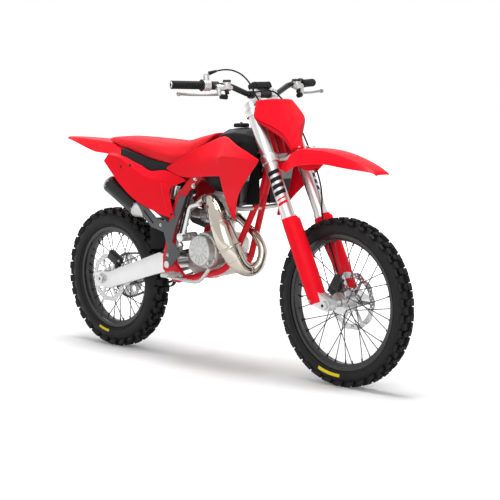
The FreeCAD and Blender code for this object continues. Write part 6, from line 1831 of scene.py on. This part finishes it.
def addSwingarm():
    softened("swingarm", "chassis", "silver_alloy", 2.2, segments=3)
    sliders = []
    rise = armTrim["sliderRise"]
    innerDrop, outerDrop = armTrim["sliderDrops"]
    for side, low, high in armTrim["sliderSides"]:
        rows = [
            [place(x, side * low, z - innerDrop), place(x, side * low, z + rise),
             place(x, side * high, z + rise), place(x, side * high, z - outerDrop)]
            for x, z in armTrim["sliderLine"]]
        strip = faceTowards(sheetOf(rows), upward)
        sliders.append(smoothWall(strip, armTrim["sliderThickness"], levels=1, offset=1))
    keep(joined(sliders), "arm_sliders", "chassis", "black_plastic")
    blocks = []
    height = armTrim["axleHeight"]
    for side in (-1, 1):
        outer = side * armTrim["plateSide"]
        for x, sunk, proud, radius in armTrim["studs"]:
            start, end = place(x, outer - side * sunk, height), place(x, outer + side * proud, height)
            blocks.append(rod(start, end, radius / 1000, sides=24, soften=0.0006))
        x, sunk, proud, radius = armTrim["nut"]
        start, end = place(x, outer - side * sunk, height), place(x, outer + side * proud, height)
        blocks.append(rod(start, end, radius / 1000, sides=6, soften=0.001))
        start, end, radius = armTrim["adjuster"]
        sideways = side * armTrim["adjusterSide"]
        ends = (place(x, sideways, height) for x in (start, end))
        blocks.append(rod(*ends, radius / 1000, sides=12))
        head, radius = armTrim["adjusterHead"]
        blocks.append(bolt(place(head, sideways, height), -forward, radius / 1000))
    keep(joined(blocks), "axle_blocks", "chassis", "bright_steel")
    guide = sheetOf([[place(x, side, z) for x, z in armTrim["guide"]] for side in armTrim["guideSides"]])
    smoothWall(faceTowards(guide, -upward), armTrim["guideThickness"], levels=1)
    keep(guide, "chain_guide", "chassis", "black_plastic")


frameTrim = {
    "bolts": (    # side, radius, places
        (110, 7.5, ((612, 742), (600, 712), (520, 352))),
        (115, 5.0, ((448, 430), (408, 548))),
    ),
    "slotSide": 115, "slotThickness": 0.8,
    "slot": (((302, 598), (330, 574), (360, 549)), ((306, 604), (334, 580), (364, 555))),
    "cables": ((590, 716), (566, 680), (545, 640), (528, 596), (512, 548), (486, 492)),
    "cableSide": -106, "cableShifts": (0, 8), "cableRadius": 4.2,
}


def addFrameTrim():
    softened("frame_guards", "chassis", "grey_plastic", 1.4, segments=3)
    bolts = []
    for sideways, radius, places in frameTrim["bolts"]:
        for x, z in places:
            for side in (-1, 1):
                bolts.append(bolt(place(x, side * sideways, z), across * side, radius / 1000))
    keep(joined(bolts), "frame_bolts", "chassis", "bright_steel")
    slots = []
    for side in (-1, 1):
        rows = [[place(x, side * frameTrim["slotSide"], z) for x, z in row] for row in frameTrim["slot"]]
        strip = faceTowards(sheetOf(rows), across * side)
        slots.append(smoothWall(strip, frameTrim["slotThickness"], levels=1, offset=1, edge=0.0003))
    keep(joined(slots), "guard_slots", "chassis", "black_plastic")
    cables = []
    for shift in frameTrim["cableShifts"]:
        points = [place(x + shift, frameTrim["cableSide"] + shift, z) for x, z in frameTrim["cables"]]
        cables.append(wire(points, frameTrim["cableRadius"] / 1000))
    keep(joined(cables), "cable_run", "chassis", "black_rubber")


tankShape = {
    "voxel": 0.004, "smoothing": 10, "capPlace": (756, 0, 940.3), "grips": 24, "gripReach": 28.8,
    "gripHeights": (2, 13), "gripRadius": 1.6, "ventHeights": (14, 20), "ventRadius": 5,
    "cap": ((0, 3), (0, 28), (1, 29.4), (13, 29), (15.6, 26.5), (15.9, 20), (14.6, 18), (14.6, 3)),
}


def addTank():
    piece = copyNode("fuel_tank")
    shape(piece, "REMESH", mode="VOXEL", voxel_size=tankShape["voxel"], use_smooth_shade=True)
    shape(piece, "SMOOTH", factor=0.5, iterations=tankShape["smoothing"])
    keep(piece, "tank_shell", "chassis", "black_plastic", "fuel_tank", smooth=0)
    bpy.ops.object.shade_smooth()
    centre = place(*tankShape["capPlace"])
    cap = lathed(centre, upward, tankShape["cap"], 60)
    start, end = (Vector((tankShape["gripReach"], 0, up)) / 1000 for up in tankShape["gripHeights"])
    grip = rod(centre + start, centre + end, tankShape["gripRadius"] / 1000, sides=8, soften=0.0004)
    grips = turnedCopies(grip, centre, tankShape["grips"], axis="Z")
    start, end = (centre + upward * up / 1000 for up in tankShape["ventHeights"])
    vent = rod(start, end, tankShape["ventRadius"] / 1000, sides=16, soften=0.0006)
    keep(joined([cap, grips, vent]), "tank_cap_grip", "chassis", "black_plastic", "tank_cap")


feet = {
    "pegReach": 500, "pegHeight": 364.8, "toothColumns": 9, "toothSide": 116, "toothPitch": 8,
    "toothEdge": 18, "toothTall": 5.2, "toothRadius": 2.6, "toothTip": 0.8,
    "pedalPad": ((716, -142, 421), (724, -142, 423), 12),
}


def addFeet():
    softened("foot_controls", "chassis", "bright_steel", 0.9, look="cast_alloy")
    teeth = []
    for side in (-1, 1):
        for column in range(feet["toothColumns"]):
            sideways = side * (feet["toothSide"] + column * feet["toothPitch"])
            for edge in (-feet["toothEdge"], feet["toothEdge"]):
                spot = place(feet["pegReach"] + edge, sideways, feet["pegHeight"])
                teeth.append(rod(
                    spot, spot + upward * feet["toothTall"] / 1000, feet["toothRadius"] / 1000, sides=6,
                    endRadius=feet["toothTip"] / 1000))
    keep(joined(teeth), "footpeg_teeth", "chassis", "bright_steel")
    start, end, radius = feet["pedalPad"]
    pad = rod(place(*start), place(*end), radius / 1000, sides=6, soften=0.001)
    keep(pad, "brake_pedal_pad", "chassis", "bright_steel")


flapWing = {
    "columns": ((344, 35), (322, 52), (302, 60), (284, 64)), "heights": (438, 480, 520, 560),
    "thickness": 2.5,
}


def addRearFittings():
    softened("shock_body", "chassis", "silver_alloy", 0.9)
    softened("airbox", "chassis", "black_plastic", 1.6)
    softened("mud_flap", "chassis", "black_plastic", 1.0)
    wings = []
    for side in (-1, 1):
        rows = [[place(x, side * y, z) for x, y in flapWing["columns"]] for z in flapWing["heights"]]
        wing = faceTowards(sheetOf(rows), across * side - forward)
        wings.append(smoothWall(wing, flapWing["thickness"], levels=2))
    keep(joined(wings), "mud_flap_wings", "chassis", "black_plastic")


addSwingarm()
addFrameTrim()
addTank()
addFeet()
addRearFittings()
report("fittings")
